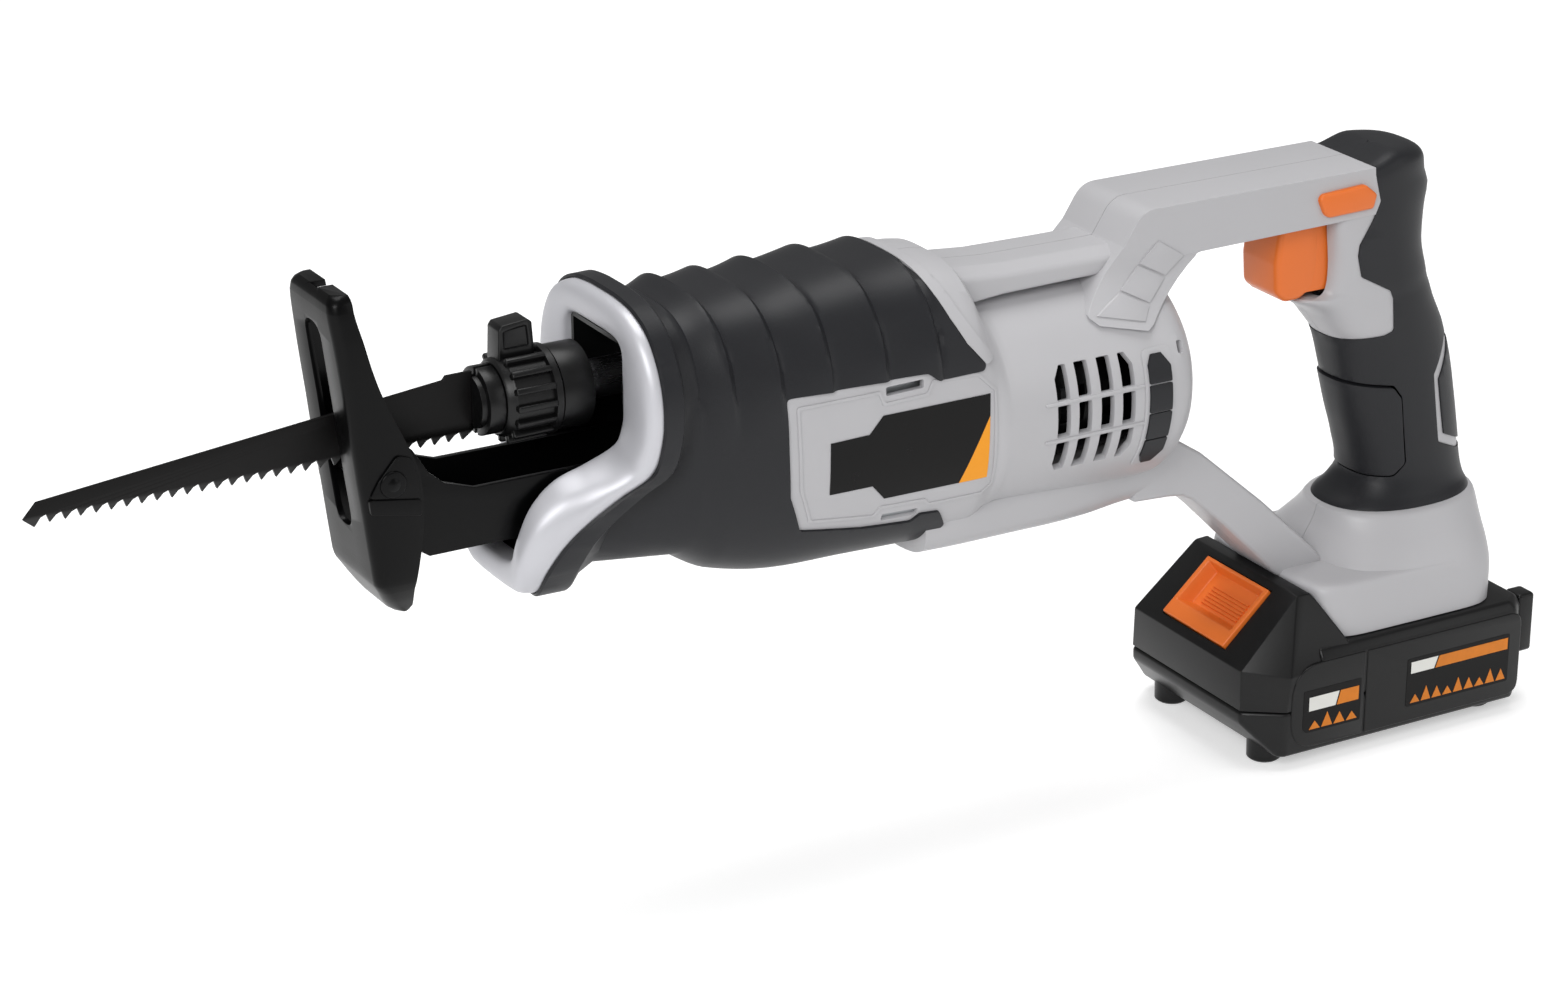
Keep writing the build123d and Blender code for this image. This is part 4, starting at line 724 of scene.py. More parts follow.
@dataclass
class Boot:
    """Rubber overmould round the gearbox: flange, ribbed back, side windows and tails."""

    wall: float = 2.6
    count: int = 144
    neck_x: float = -47.0
    rear_x: float = 53.0
    rib_height: float = 2.5
    crests: tuple[float, ...] = (-38.0, -22.0, -5.0, 14.0, 33.0)
    # how far each section of the flange lies behind the bezel's edge above and at the chin, and outside it
    flange: tuple[Point3, ...] = ((0.6, 0.6, 0.3), (1.2, 1.2, 1.3), (6.6, 10.6, 1.4), (7.4, 11.8, 0.8),
                                  (8.4, 15.0, -2.6), (10.4, 21.0, -5.4))
    edge: Outline = (
        (-130.0, 215.0), (33.0, 215.0), (35.5, 196.0), (38.5, 188.0), (41.5, 181.0), (46.0, 173.0),
        (52.5, 165.4), (51.5, 163.6), (35.0, 163.4), (31.0, 166.4), (13.0, 166.6), (-18.0, 166.6),
        (-17.6, 150.0), (-17.0, 135.0), (-12.4, 122.2), (10.0, 118.2), (28.0, 116.6), (31.0, 119.0),
        (38.0, 118.4), (42.0, 112.0), (39.0, 106.0), (36.0, 95.0), (36.0, 80.0), (-130.0, 80.0),
    )

    def rib_profile(self, x: float) -> float:
        """Height of the overlapping bands at x: a slow rise to each crest and a quick fall behind it."""
        for front, crest in zip((-50.0,) + self.crests, self.crests):
            if front + 2.4 <= x <= crest:
                share = (x - front - 2.4) / (crest - front - 2.4)
                return -0.35 + 0.9 * share ** 1.6
            if crest < x < crest + 2.4:
                return 0.55 - 0.9 * eased((x - crest) / 2.4)
        return 0.0

    def front_rings(self) -> list[list[Point3]]:
        """The flange behind the bezel: edge, face and the step down to the neck, section by section."""
        angles = (90, 80, 68, 52, 38, 24, 12, -2, -14, -26, -40, -54, -66, -78, -90)
        rings = []
        for back_top, back_chin, proud in self.flange:
            table = []
            for angle, row in zip(angles, BEZEL.rows):
                edge = Vector(row[2])
                chin = min(max((-61.0 - edge.x) / 33.0, 0.0), 1.0)
                back = back_top + (back_chin - back_top) * chin
                out = Vector((0, edge.y, edge.z - 158)).normalized() * proud
                table.append((angle, edge.x + back, edge.y + out.y, edge.z + out.z))
            table.sort()
            ring = []
            for k in range(self.count):
                turn = 360 * k / self.count
                side = 1 if turn <= 90 or turn >= 270 else -1
                lift = turn if turn <= 90 else 180 - turn if turn <= 270 else turn - 360
                x, y, z = along(table, lift)
                ring.append((x, side * y, z))
            rings.append(ring)
        return rings

    def build(self) -> None:
        """Skin the boot, trim its windows and rear edge, and give it a wall."""
        rings = self.front_rings()
        neck = BODY.ring(self.neck_x, 0.0, self.count)
        last = rings[-1]
        for share in (0.3, 0.65):
            rings.append([tuple(Vector(a).lerp(Vector(b), share)) for a, b in zip(last, neck)])
        rings.append(neck)
        steps = 86
        for i in range(1, steps + 1):
            x = self.neck_x + (self.rear_x - self.neck_x) * i / steps
            rings.append([self.ribbed(x, *point) for point in BODY.ring(x, 0.0, self.count)])
        skin = Shape().loft(rings, caps=False).obj("front_boot")
        cut_region(skin, rounded(self.edge, 1.6, 3), True)
        dressed(thickened(skin, self.wall, 0.0, 0.55), CHARCOAL, "housing", "front_boot")
        self.border()

    def ribbed(self, at: float, x: float, y: float, z: float) -> Point3:
        """A point of the section at a station, raised by the bands that cross the boot's back."""
        lift = math.degrees(math.atan2(z - 148, abs(y)))
        fade = min(max((lift - 14) / 22, 0.0), 1.0)
        raised = self.rib_height * self.rib_profile(at - 2.5 * math.cos(math.radians(lift)) ** 2) * fade
        out = Vector((0, y, z - 148)).normalized() * raised
        return x, y + out.y, z + out.z

    def border(self) -> None:
        """The narrow pale strip that stands along the boot's rear edge."""
        outline = [*self.edge[2:7], (56.8, 166.4), (49.8, 174.8), (45.2, 182.4), (42.0, 189.4), (39.0, 197.0)]
        rings = [BODY.ring(30 + 32 * i / 28, 0.0, self.count) for i in range(29)]
        strip = Shape().loft(rings, caps=False).obj("boot_border")
        cut_region(strip, rounded(outline, 0.8, 3), True)
        dressed(thickened(strip, 0.9, 0.25, 0.35), GREY, "housing")


@dataclass
class Bezel:
    """Silver nose bezel: a rounded band swept round the mouth and forward into the chin."""

    samples: int = 90
    # for each station down the +Y side: inner edge, crest, outer edge and back edge
    rows: tuple[tuple[Point3, Point3, Point3, Point3], ...] = (
        ((-62.0, 0, 187.8), (-66.6, 0, 193.2), (-62.6, 0, 198.8), (-60, 0, 198.6)),
        ((-62.0, 8, 187.8), (-66.6, 8.5, 193.1), (-62.6, 9, 198.6), (-60, 9, 198.4)),
        ((-62.0, 15, 187.2), (-66.6, 17, 191.8), (-62.6, 19, 197.0), (-60, 19, 196.8)),
        ((-62.0, 17, 184.5), (-66.6, 23.6, 187.8), (-62.4, 28.4, 191.8), (-60, 28.4, 191.6)),
        ((-62.0, 17, 178), (-66.8, 26.2, 180.4), (-62.2, 34.8, 182.3), (-60, 34.8, 182.2)),
        ((-62.0, 17, 170), (-66.9, 27.4, 171), (-62.0, 37.3, 171.5), (-60, 37.2, 171.5)),
        ((-62.4, 17, 162.6), (-67.3, 27.0, 161.5), (-62.2, 36.4, 161), (-60, 36.2, 160.6)),
        ((-65.5, 17, 156.6), (-70.4, 25.8, 153.8), (-64.4, 33.6, 151), (-62.2, 33.2, 150.2)),
        ((-76.5, 17, 152.2), (-79.6, 25.0, 148.4), (-72.8, 30.2, 144.6), (-70.4, 29.8, 143.2)),
        ((-87.4, 17, 148.8), (-89.4, 24.4, 143.6), (-82.0, 27.6, 137.7), (-79.6, 27.2, 136.0)),
        ((-95.2, 17, 142.0), (-97.0, 22.8, 136.4), (-89.0, 25.2, 130.6), (-86.8, 24.8, 129.0)),
        ((-99.2, 16, 131.9), (-101.2, 19.8, 127.0), (-94.0, 22.4, 122.0), (-92, 21.8, 120.6)),
        ((-99.2, 12.6, 124.6), (-101.2, 15.0, 118.8), (-94.8, 16.6, 113.8), (-92.6, 16.2, 113.6)),
        ((-98.8, 7, 122.2), (-101.0, 8.0, 116.8), (-94.4, 9.0, 112.2), (-92, 9.0, 112.4)),
        ((-98.8, 0, 122.0), (-101.0, 0, 116.6), (-94.4, 0, 112.0), (-92, 0, 112.3)),
    )

    def line(self, which: int) -> list[Vector]:
        """One of the band's long curves on the +Y side, smoothly sampled from the top down."""
        table = [(float(i),) + row[which] for i, row in enumerate(self.rows)]
        last = len(self.rows) - 1
        return [Vector(along(table, last * k / self.samples)) for k in range(self.samples + 1)]

    def build(self) -> None:
        """Skin the band from its four curves and thicken it."""
        rings = []
        for a, b, c, d in zip(*(self.line(k) for k in range(4))):
            over = [self.arc(a, b, c, k / 8) for k in range(1, 9)]
            rings.append([a + Vector((5.0, 0, 0)), a, *over, c.lerp(d, 0.5), d])
        band = Shape().loft(rings, closed=False).mirrored().obj("nose_bezel")
        settle(modified(band, "SUBSURF", levels=1, render_levels=1))
        dressed(thickened(band, 2.2, 0.0, 0.4), SILVER, "housing", "nose_bezel")

    @staticmethod
    def arc(a: Vector, b: Vector, c: Vector, t: float) -> Vector:
        """A rounded path from a over b to c, fuller than a circle."""
        end, turn = (a, math.pi * t) if t < 0.5 else (c, math.pi * (1 - t))
        lift = 1 - math.cos(turn)
        reach = (b.x - end.x) * math.sin(turn) ** 0.8
        return end + Vector((reach, (b.y - end.y) * lift, (b.z - end.z) * lift))


BEZEL = Bezel()


# ------------------------------------------------------------------ clamshell housing
@dataclass
class Housing:
    """Two clamshells: body panels, motor barrel with vents, handle, struts and foot."""

    wall: float = 2.4
    panel_inset: float = 0.9
    barrel_end_x: float = 124.0
    barrel_r: float = 36.5
    handle_y: float = 17.5
    flare_z: float = 184.0
    low_strut_y: float = 12.0
    vent_w: float = 4.9
    vent_columns: tuple[float, ...] = (78.9, 86.9, 95.3, 103.4)
    vent_rows: Outline = ((148.2, 158.8), (136.0, 146.6), (123.8, 134.2))
    cap_profile: Outline = ((124.0, 36.5), (127.0, 36.2), (130.0, 35.0), (133.0, 32.4),
                                       (135.6, 28.8), (137.4, 24.6), (138.2, 20.0), (138.4, 0.01))
    beam: Outline = (
        (100.0, 166.8), (97.2, 169.6), (115.0, 187.6), (122.0, 198.5), (236.0, 198.5), (236.0, 182.5),
        (144.0, 181.2), (119.0, 164.8), (116.0, 163.6))
    strut: Outline = (
        (128.0, 119.5), (138.0, 119.2), (142.0, 115.6), (153.0, 108.4), (179.0, 86.0), (200.0, 66.0),
        (207.0, 58.0), (187.0, 57.0), (163.0, 81.0), (150.0, 92.4), (146.0, 94.6), (140.0, 95.4),
        (126.0, 96.2))
    # x, half-width, top and bottom of the belly under the barrel
    belly: tuple[tuple[float, float, float, float], ...] = (
        (36.0, 28.0, 120.0, 99.8), (50.0, 28.0, 120.0, 99.4), (70.0, 26.0, 119.0, 98.6),
        (90.0, 23.0, 119.0, 97.2), (106.0, 19.0, 119.0, 96.2), (120.0, 14.6, 119.2, 95.8),
        (132.0, 12.3, 119.2, 95.7), (140.0, 12.0, 117.4, 95.4))
    # z, front x, rear x, half-width and squareness of the foot's block and of the bell that carries the grip
    foot: tuple[tuple[float, float, float, float, float], ...] = (
        (41.6, 192.6, 262.0, 36.2, 8.0), (48.0, 190.0, 262.0, 35.6, 8.0), (54.0, 188.2, 260.0, 34.8, 7.0),
        (58.0, 187.4, 258.0, 33.8, 6.0), (59.2, 188.4, 256.0, 32.8, 5.5), (59.7, 190.4, 254.0, 31.0, 5.0))
    bell: tuple[tuple[float, float, float, float, float], ...] = (
        (41.6, 206.0, 265.4, 36.2, 5.0), (48.0, 204.0, 267.6, 35.7, 4.2), (54.0, 203.0, 269.6, 34.8, 3.6),
        (60.0, 203.6, 271.0, 32.6, 3.0), (64.5, 205.8, 271.8, 29.8, 2.6), (69.0, 208.6, 272.2, 26.6, 2.4),
        (72.6, 210.2, 272.2, 24.2, 2.3), (74.6, 210.8, 271.8, 23.0, 2.2), (75.3, 212.4, 270.4, 21.6, 2.2))

    def barrel(self) -> Piece:
        """Body panels, shoulder, barrel and domed end cap, with vents cut through."""
        count = 144
        xs = [-22 + 3.0 * i for i in range(24)] + [51.0, 52.5, 54, 55.5, 57, 58.5, 60, 61.5, 63]
        xs = sorted({*xs, *(63 + (self.barrel_end_x - 63) * i / 24 for i in range(1, 25))})
        rings = [BODY.ring(x, self.panel_inset * min(max((60 - x) / 2.4, 0), 1), count) for x in xs]
        rings += [circle(x, MOTOR_Z, r, count) for x, r in self.cap_profile[1:]]
        skin = Shape().loft(rings, caps=False).obj("barrel")
        for slot in self.vents():
            cut_region(skin, slot, False)
        for notch in self.notches():
            cut_region(skin, notch, False, 20)
        return painted(thickened(skin, self.wall, 0.0, 0.35), GREY)

    def vents(self) -> list[list[Point2]]:
        """Outlines of the cooling slots; the four outer corners of the grille are cut across."""
        slots = []
        w, cut = self.vent_w, 2.4
        for c, x in enumerate(self.vent_columns):
            for r, (low, high) in enumerate(self.vent_rows):
                points = [(x, low), (x + w, low), (x + w, high), (x, high)]
                if c == 0 and r == 0:
                    points[3:4] = [(x + cut, high), (x, high - 1.6 * cut)]
                if c == 0 and r == 2:
                    points[0:1] = [(x, low + 1.2 * cut), (x + 0.7 * cut, low)]
                if c == 3 and r == 0:
                    points[2:3] = [(x + w, high - 1.6 * cut), (x + w - cut, high)]
                if c == 3 and r == 2:
                    points[1:2] = [(x + w - cut, low), (x + w, low + 1.6 * cut)]
                slots.append(rounded(points, 0.5, 2))
        return slots

    @staticmethod
    def notches() -> list[list[Point2]]:
        """Small slots above and below the label, and one in the end cap."""
        return [rounded([(16.5, 161.6), (30.0, 161.9), (30.0, 164.6), (16.5, 164.4)], 0.5, 2),
                rounded([(17.0, 119.4), (30.0, 118.9), (30.0, 121.3), (17.0, 121.9)], 0.5, 2),
                rounded([(126.0, 155.0), (128.6, 154.6), (128.8, 158.4), (126.2, 159.0)], 0.9, 3)]

    @staticmethod
    def lofted(name: str, rows: Sequence[tuple[float, ...]], upright: bool, steps: int) -> Piece:
        """A closed loft whose sections come from a table.

        Args:
            name: name of the piece.
            rows: the stations; upright ones are foot rows and the others belly rows.
            upright: whether the sections are stacked along Z.
            steps: sections between the first and last station.

        Returns:
            The smooth solid.
        """
        count = 72
        rings = []
        for i in range(steps + 1):
            at = rows[0][0] + (rows[-1][0] - rows[0][0]) * i / steps
            if upright:
                front, rear, half, power = along(rows, at)
                shape = oval((rear - front) / 2, half, power, count)
                rings.append([((front + rear) / 2 + x, y, at) for x, y in shape])
            else:
                half, top, low = along(rows, at)
                shape = oval(half, (top - low) / 2, 3.4, count)
                rings.append([(at, y, (top + low) / 2 + z) for y, z in shape])
        return painted(settle(Shape().loft(rings).obj(name), 40), GREY)

    def build(self) -> None:
        """Build the whole shell, cut it along the centre plane and dress both halves."""
        corners = rounded(self.beam, [1, 1, 3, 9, 0, 0, 5, 1, 1], 6)
        beam = Shape().prism(corners, -self.handle_y, self.handle_y)
        beam = bevelled(self.flared(beam.obj("beam")), 2.6, 4, 40)
        top_strut = self.top_strut()
        corners = rounded(self.strut, [0, 3, 3, 6, 0, 0, 0, 0, 3, 5, 4, 4, 0], 5)
        strut = Shape().prism(corners, -self.low_strut_y, self.low_strut_y).obj("strut")
        bevelled(strut, 1.3, 3, 40)
        panels = [self.ladder(), self.vent_bars()]
        carve(beam, Shape().prism(HANDLE.skin_edge, -30, 30).obj("skin_cut"))
        shell = joined("housing_shell", self.barrel(), painted(beam, GREY), painted(top_strut, GREY),
                       painted(strut, GREY), self.lofted("belly", self.belly, False, 40),
                       self.lofted("foot", self.foot, True, 36), self.lofted("bell", self.bell, True, 48),
                       HANDLE.grey_part(), *panels)
        for name, side in (("housing_left", -1.0), ("housing_right", 1.0)):
            dressed(half_of(shell, name + "_shell", side), GREY, "housing", name)
        bpy.data.objects.remove(shell)

    def top_strut(self) -> Piece:
        """The broad rounded bar from the shoulder to the handle's leg."""
        rings = []
        for x, half, top, low in ((46.0, 15.5, 190.5, 176.0), (58.0, 15.3, 188.6, 177.5),
                                  (72.0, 15.1, 187.4, 178.6), (100.0, 15.0, 187.0, 179.0),
                                  (122.0, 15.0, 187.0, 179.0)):
            outline = [(-half, low), (half, low), (half, top - 2.6), (0.62 * half, top), (-0.62 * half, top),
                       (-half, top - 2.6)]
            rings.append([(x, y, z) for y, z in rounded(outline, [1.2, 1.2, 2.4, 5, 5, 2.4], 4)])
        return settle(Shape().loft(rings).obj("top_strut"), 36)

    def flare(self, z: float) -> float:
        """How far the handle's leg spreads sideways at a height, where it comes down on the barrel."""
        return 0.033 * max(self.flare_z - z, 0.0) ** 2

    def flared(self, piece: Piece) -> Piece:
        """Slice the leg level by level and spread its sides over the barrel."""
        with editing(piece.data) as bm:
            for k in range(7):
                bmesh.ops.bisect_plane(bm, geom=bm.verts[:] + bm.edges[:] + bm.faces[:],
                                       plane_co=(0, 0, (self.flare_z - 3.0 * k) * MM), plane_no=(0, 0, 1))
            for vert in bm.verts:
                if vert.co.x < (143 + DATUM_X) * MM:
                    vert.co.y += math.copysign(self.flare(vert.co.z / MM) * MM, vert.co.y)
        return piece

    @staticmethod
    def shrunk(points: Outline, gap: float) -> list[Point2]:
        """An outline whose corners are each pulled towards its middle."""
        middle = sum((Vector(p) for p in points), Vector((0, 0))) / len(points)
        return [tuple(Vector(p) + (middle - Vector(p)).normalized() * gap) for p in points]

    def vent_bars(self) -> Piece:
        """Raised bars that run along the barrel between the rows of slots."""
        bars = Shape()
        for low, high in ((134.6, 135.7), (146.9, 147.9)):
            reach = math.sqrt(self.barrel_r ** 2 - (high - MOTOR_Z) ** 2)
            bars.pair([(74.5, low), (112.0, low), (112.0, high), (74.5, high)], reach - 1.2, reach + 0.55)
        return painted(bevelled(bars.obj("vent_bars"), 0.35, 2, 40), GREY)

    def ladder(self) -> Piece:
        """The raised cells on both sides of the handle's leg."""
        shape = Shape()
        # each rung's left and right end, from the top of the leg down to its foot on the barrel
        rungs = (((128.0, 188.2), (138.4, 181.4)), ((120.2, 181.4), (129.8, 176.0)),
                 ((111.4, 174.8), (121.0, 169.6)), ((99.8, 169.4), (116.8, 165.6)))
        for (a, b), (c, d) in zip(rungs, rungs[1:]):
            shape.pair(self.shrunk([a, b, d, c], 0.56), self.handle_y - 0.6, self.handle_y + 0.6)
        shape.verts = [(x, y + math.copysign(self.flare(z), y), z) for x, y, z in shape.verts]
        return painted(bevelled(shape.obj("ladder"), 0.12, 2, 40), GREY)


@dataclass
class Handle:
    """The rear handle: one lofted form shared by the grey shell, the grip skin and its insert."""

    # z, front x, rear x, half-width, squareness in front and behind, and x of the widest place
    rows: tuple[tuple[float, ...], ...] = (
        (74.0, 212.0, 271.0, 21.2, 2.2, 2.2, 241.5),
        (76.0, 213.4, 270.4, 20.6, 2.2, 2.2, 241.5),
        (79.0, 218.0, 268.8, 18.6, 2.3, 2.2, 242.0),
        (85.0, 223.0, 267.0, 17.1, 2.4, 2.2, 243.5),
        (97.0, 220.4, 265.0, 16.6, 2.4, 2.2, 242.0),
        (109.0, 216.4, 263.0, 16.4, 2.4, 2.2, 239.0),
        (124.0, 212.2, 259.8, 16.3, 2.5, 2.2, 236.0),
        (137.0, 208.2, 255.6, 16.3, 2.6, 2.2, 232.0),
        (142.0, 204.2, 253.0, 16.3, 2.8, 2.2, 231.0),
        (146.0, 201.2, 251.0, 16.3, 3.0, 2.2, 230.0),
        (149.0, 197.4, 249.8, 16.3, 3.0, 2.2, 229.0),
        (151.6, 192.8, 248.8, 16.3, 3.0, 2.2, 228.0),
        (152.8, 191.4, 248.2, 16.4, 3.0, 2.2, 227.5),
        (153.8, 192.6, 247.8, 16.5, 3.2, 2.2, 227.0),
        (155.0, 197.2, 247.4, 16.6, 3.6, 2.2, 226.5),
        (157.4, 199.9, 246.8, 16.7, 4.4, 2.2, 226.0),
        (165.0, 200.9, 244.6, 16.9, 5.0, 2.2, 224.0),
        (170.0, 200.8, 243.8, 17.1, 6.0, 2.3, 222.0),
        (180.0, 200.0, 244.2, 17.5, 8.0, 2.4, 218.0),
        (187.5, 200.0, 245.2, 17.6, 8.0, 2.5, 215.0),
        (191.0, 200.0, 243.4, 17.7, 8.0, 2.5, 214.0),
        (194.0, 200.0, 242.6, 17.7, 8.0, 2.6, 213.0),
        (195.2, 200.0, 241.8, 17.5, 8.0, 2.7, 212.0),
        (196.2, 200.0, 240.8, 17.1, 8.0, 2.7, 212.0),
        (197.2, 200.0, 239.2, 16.3, 8.0, 2.7, 212.0),
        (198.2, 200.0, 236.6, 14.6, 8.0, 2.7, 212.0),
    )
    # side view of what the soft skin covers, from the top edge down to the rim
    skin_edge: Outline = (
        (213.6, 205.0), (214.2, 196.0), (216.8, 186.6), (214.0, 180.0), (209.6, 172.4), (209.4, 168.6),
        (211.6, 160.8), (224.0, 154.0), (225.6, 151.0), (226.6, 139.4), (223.0, 138.2), (203.0, 136.6),
        (200.0, 130.0), (200.0, 70.0), (285.0, 70.0), (285.0, 205.0),
    )
    insert_edge: Outline = (
        (256.0, 133.4), (252.0, 131.0), (245.4, 120.2), (248.6, 95.6), (260.0, 90.2), (275.0, 89.0),
        (275.0, 133.0))
    pad_edge: Outline = (
        (200.0, 121.4), (210.0, 121.2), (228.0, 118.8), (231.2, 114.6), (234.6, 90.6), (231.0, 86.4),
        (206.0, 85.0))
    # room behind the trigger, as far as it travels
    trigger_way: Outline = ((190.0, 154.0), (206.2, 154.0), (212.2, 157.6), (212.2, 185.0),
                                       (190.0, 185.0))
    grey_inset: float = 0.35
    head_rise: float = 3.2
    pad_gap: float = 0.75

    def ring(self, z: float, inset: float, count: int = 96) -> list[Point3]:
        """One level section of the handle, drawn in by inset."""
        front, rear, half, p_front, p_rear, wide = along(self.rows, z)
        points = []
        for a in turns(count):
            c = math.cos(a)
            power, reach = (p_rear, rear - wide) if c >= 0 else (p_front, wide - front)
            x = wide + bulged(c, power) * (reach - inset)
            points.append((x, bulged(math.sin(a), power) * (half - inset), z + self.rise(x, z)))
        return points

    def rise(self, x: float, z: float) -> float:
        """How far the crown stands up behind the beam."""
        tilt = min(max((z - 186.0) / 12.0, 0.0), 1.0) * min(max((x - 213.0) / 13.0, 0.0), 1.0)
        return self.head_rise * eased(tilt)

    def levels(self) -> list[float]:
        """Heights of the sections, closer together where the form turns quickly."""
        lows = [74.0, 75, 76, 77, 78, 79, 80.5, 82, 84, 86]
        mids = [86 + 3.2 * i for i in range(1, 19)] + [145.6 + 0.8 * i for i in range(21)]
        mids += [162.4 + 2.2 * i for i in range(11)]
        tops = [187.5, 189.5, 191, 192.8, 194, 194.7, 195.2, 195.7, 196.2, 196.7, 197.2, 197.7, 198.2]
        return lows + mids + tops

    def surface(self, name: str, inset: float, capped: bool = True) -> Piece:
        """The handle's skin as an open tube, with or without its crown."""
        rings = [self.ring(z, inset) for z in self.levels()]
        if capped:
            edge = rings[-1]
            rings[-1] = [(x, y, z - inset) for x, y, z in edge]
            for share in (0.8, 0.6, 0.4, 0.2, 0.02):
                ring = [(224.0 + (x - 224.0) * share, y * share) for x, y, _z in edge]
                rings.append([(x, y, 198.5 - inset + self.rise(x, 198.5)) for x, y in ring])
        return Shape().loft(rings, caps=False).obj(name)

    def grey_part(self) -> Piece:
        """The part of the clamshells that shows in front of the grip skin."""
        skin = self.surface("handle_shell", self.grey_inset)
        cut_region(skin, self.skin_edge, False)
        cut_region(skin, [(180, 136), (240, 136), (240, 184.0), (180, 184.0)], True)
        thickened(skin, 2.0, 0.0, 0.3)
        carve(skin, Shape().prism(self.trigger_way, -10.6, 10.6).obj("trigger_way"))
        return painted(settle(skin), GREY)

    def build(self) -> None:
        """Grip skin with its raised pad, and the rear insert with its pale border."""
        skin = self.surface("grip_skin", 0.0)
        cut_region(skin, rounded(self.skin_edge, [0] + [1.6] * 11 + [0] * 4, 4), True)
        cut_region(skin, rounded(self.insert_edge, 1.2, 3), False)
        pad_radii = [0, 2, 2.4, 2.4, 3, 3, 0]
        cut_region(skin, rounded(SideTrim.inset(self.pad_edge, -self.pad_gap), pad_radii, 4), False)
        thickened(skin, 2.1, 0.0, 0.5)
        pad = self.surface("grip_pad", 0.2, False)
        cut_region(pad, rounded(self.pad_edge, pad_radii, 4), True)
        thickened(pad, 2.6, 0.95, 0.45)
        grip = joined("grip_skin_piece", painted(skin, CHARCOAL), painted(pad, CHARCOAL))
        dressed(grip, CHARCOAL, "housing", "grip_sleeve")
        border = self.surface("insert_border", 0.5, False)
        cut_region(border, rounded(self.insert_edge, 1.0, 3), True)
        thickened(border, 1.6, 0.1, 0.3)
        inner = [(x + (2.6 if x < 262 else 0), z + (-2.3 if z > 112 else 2.3)) for x, z in self.insert_edge]
        core = self.surface("insert_core", 0.0, False)
        cut_region(core, rounded(inner, 1.0, 3), True)
        thickened(core, 1.4, 0.15, 0.35)
        insert = joined("grip_insert_piece", painted(border, GREY), painted(core, CHARCOAL))
        dressed(insert, CHARCOAL, "housing", "grip_back_insert")


HANDLE = Handle()


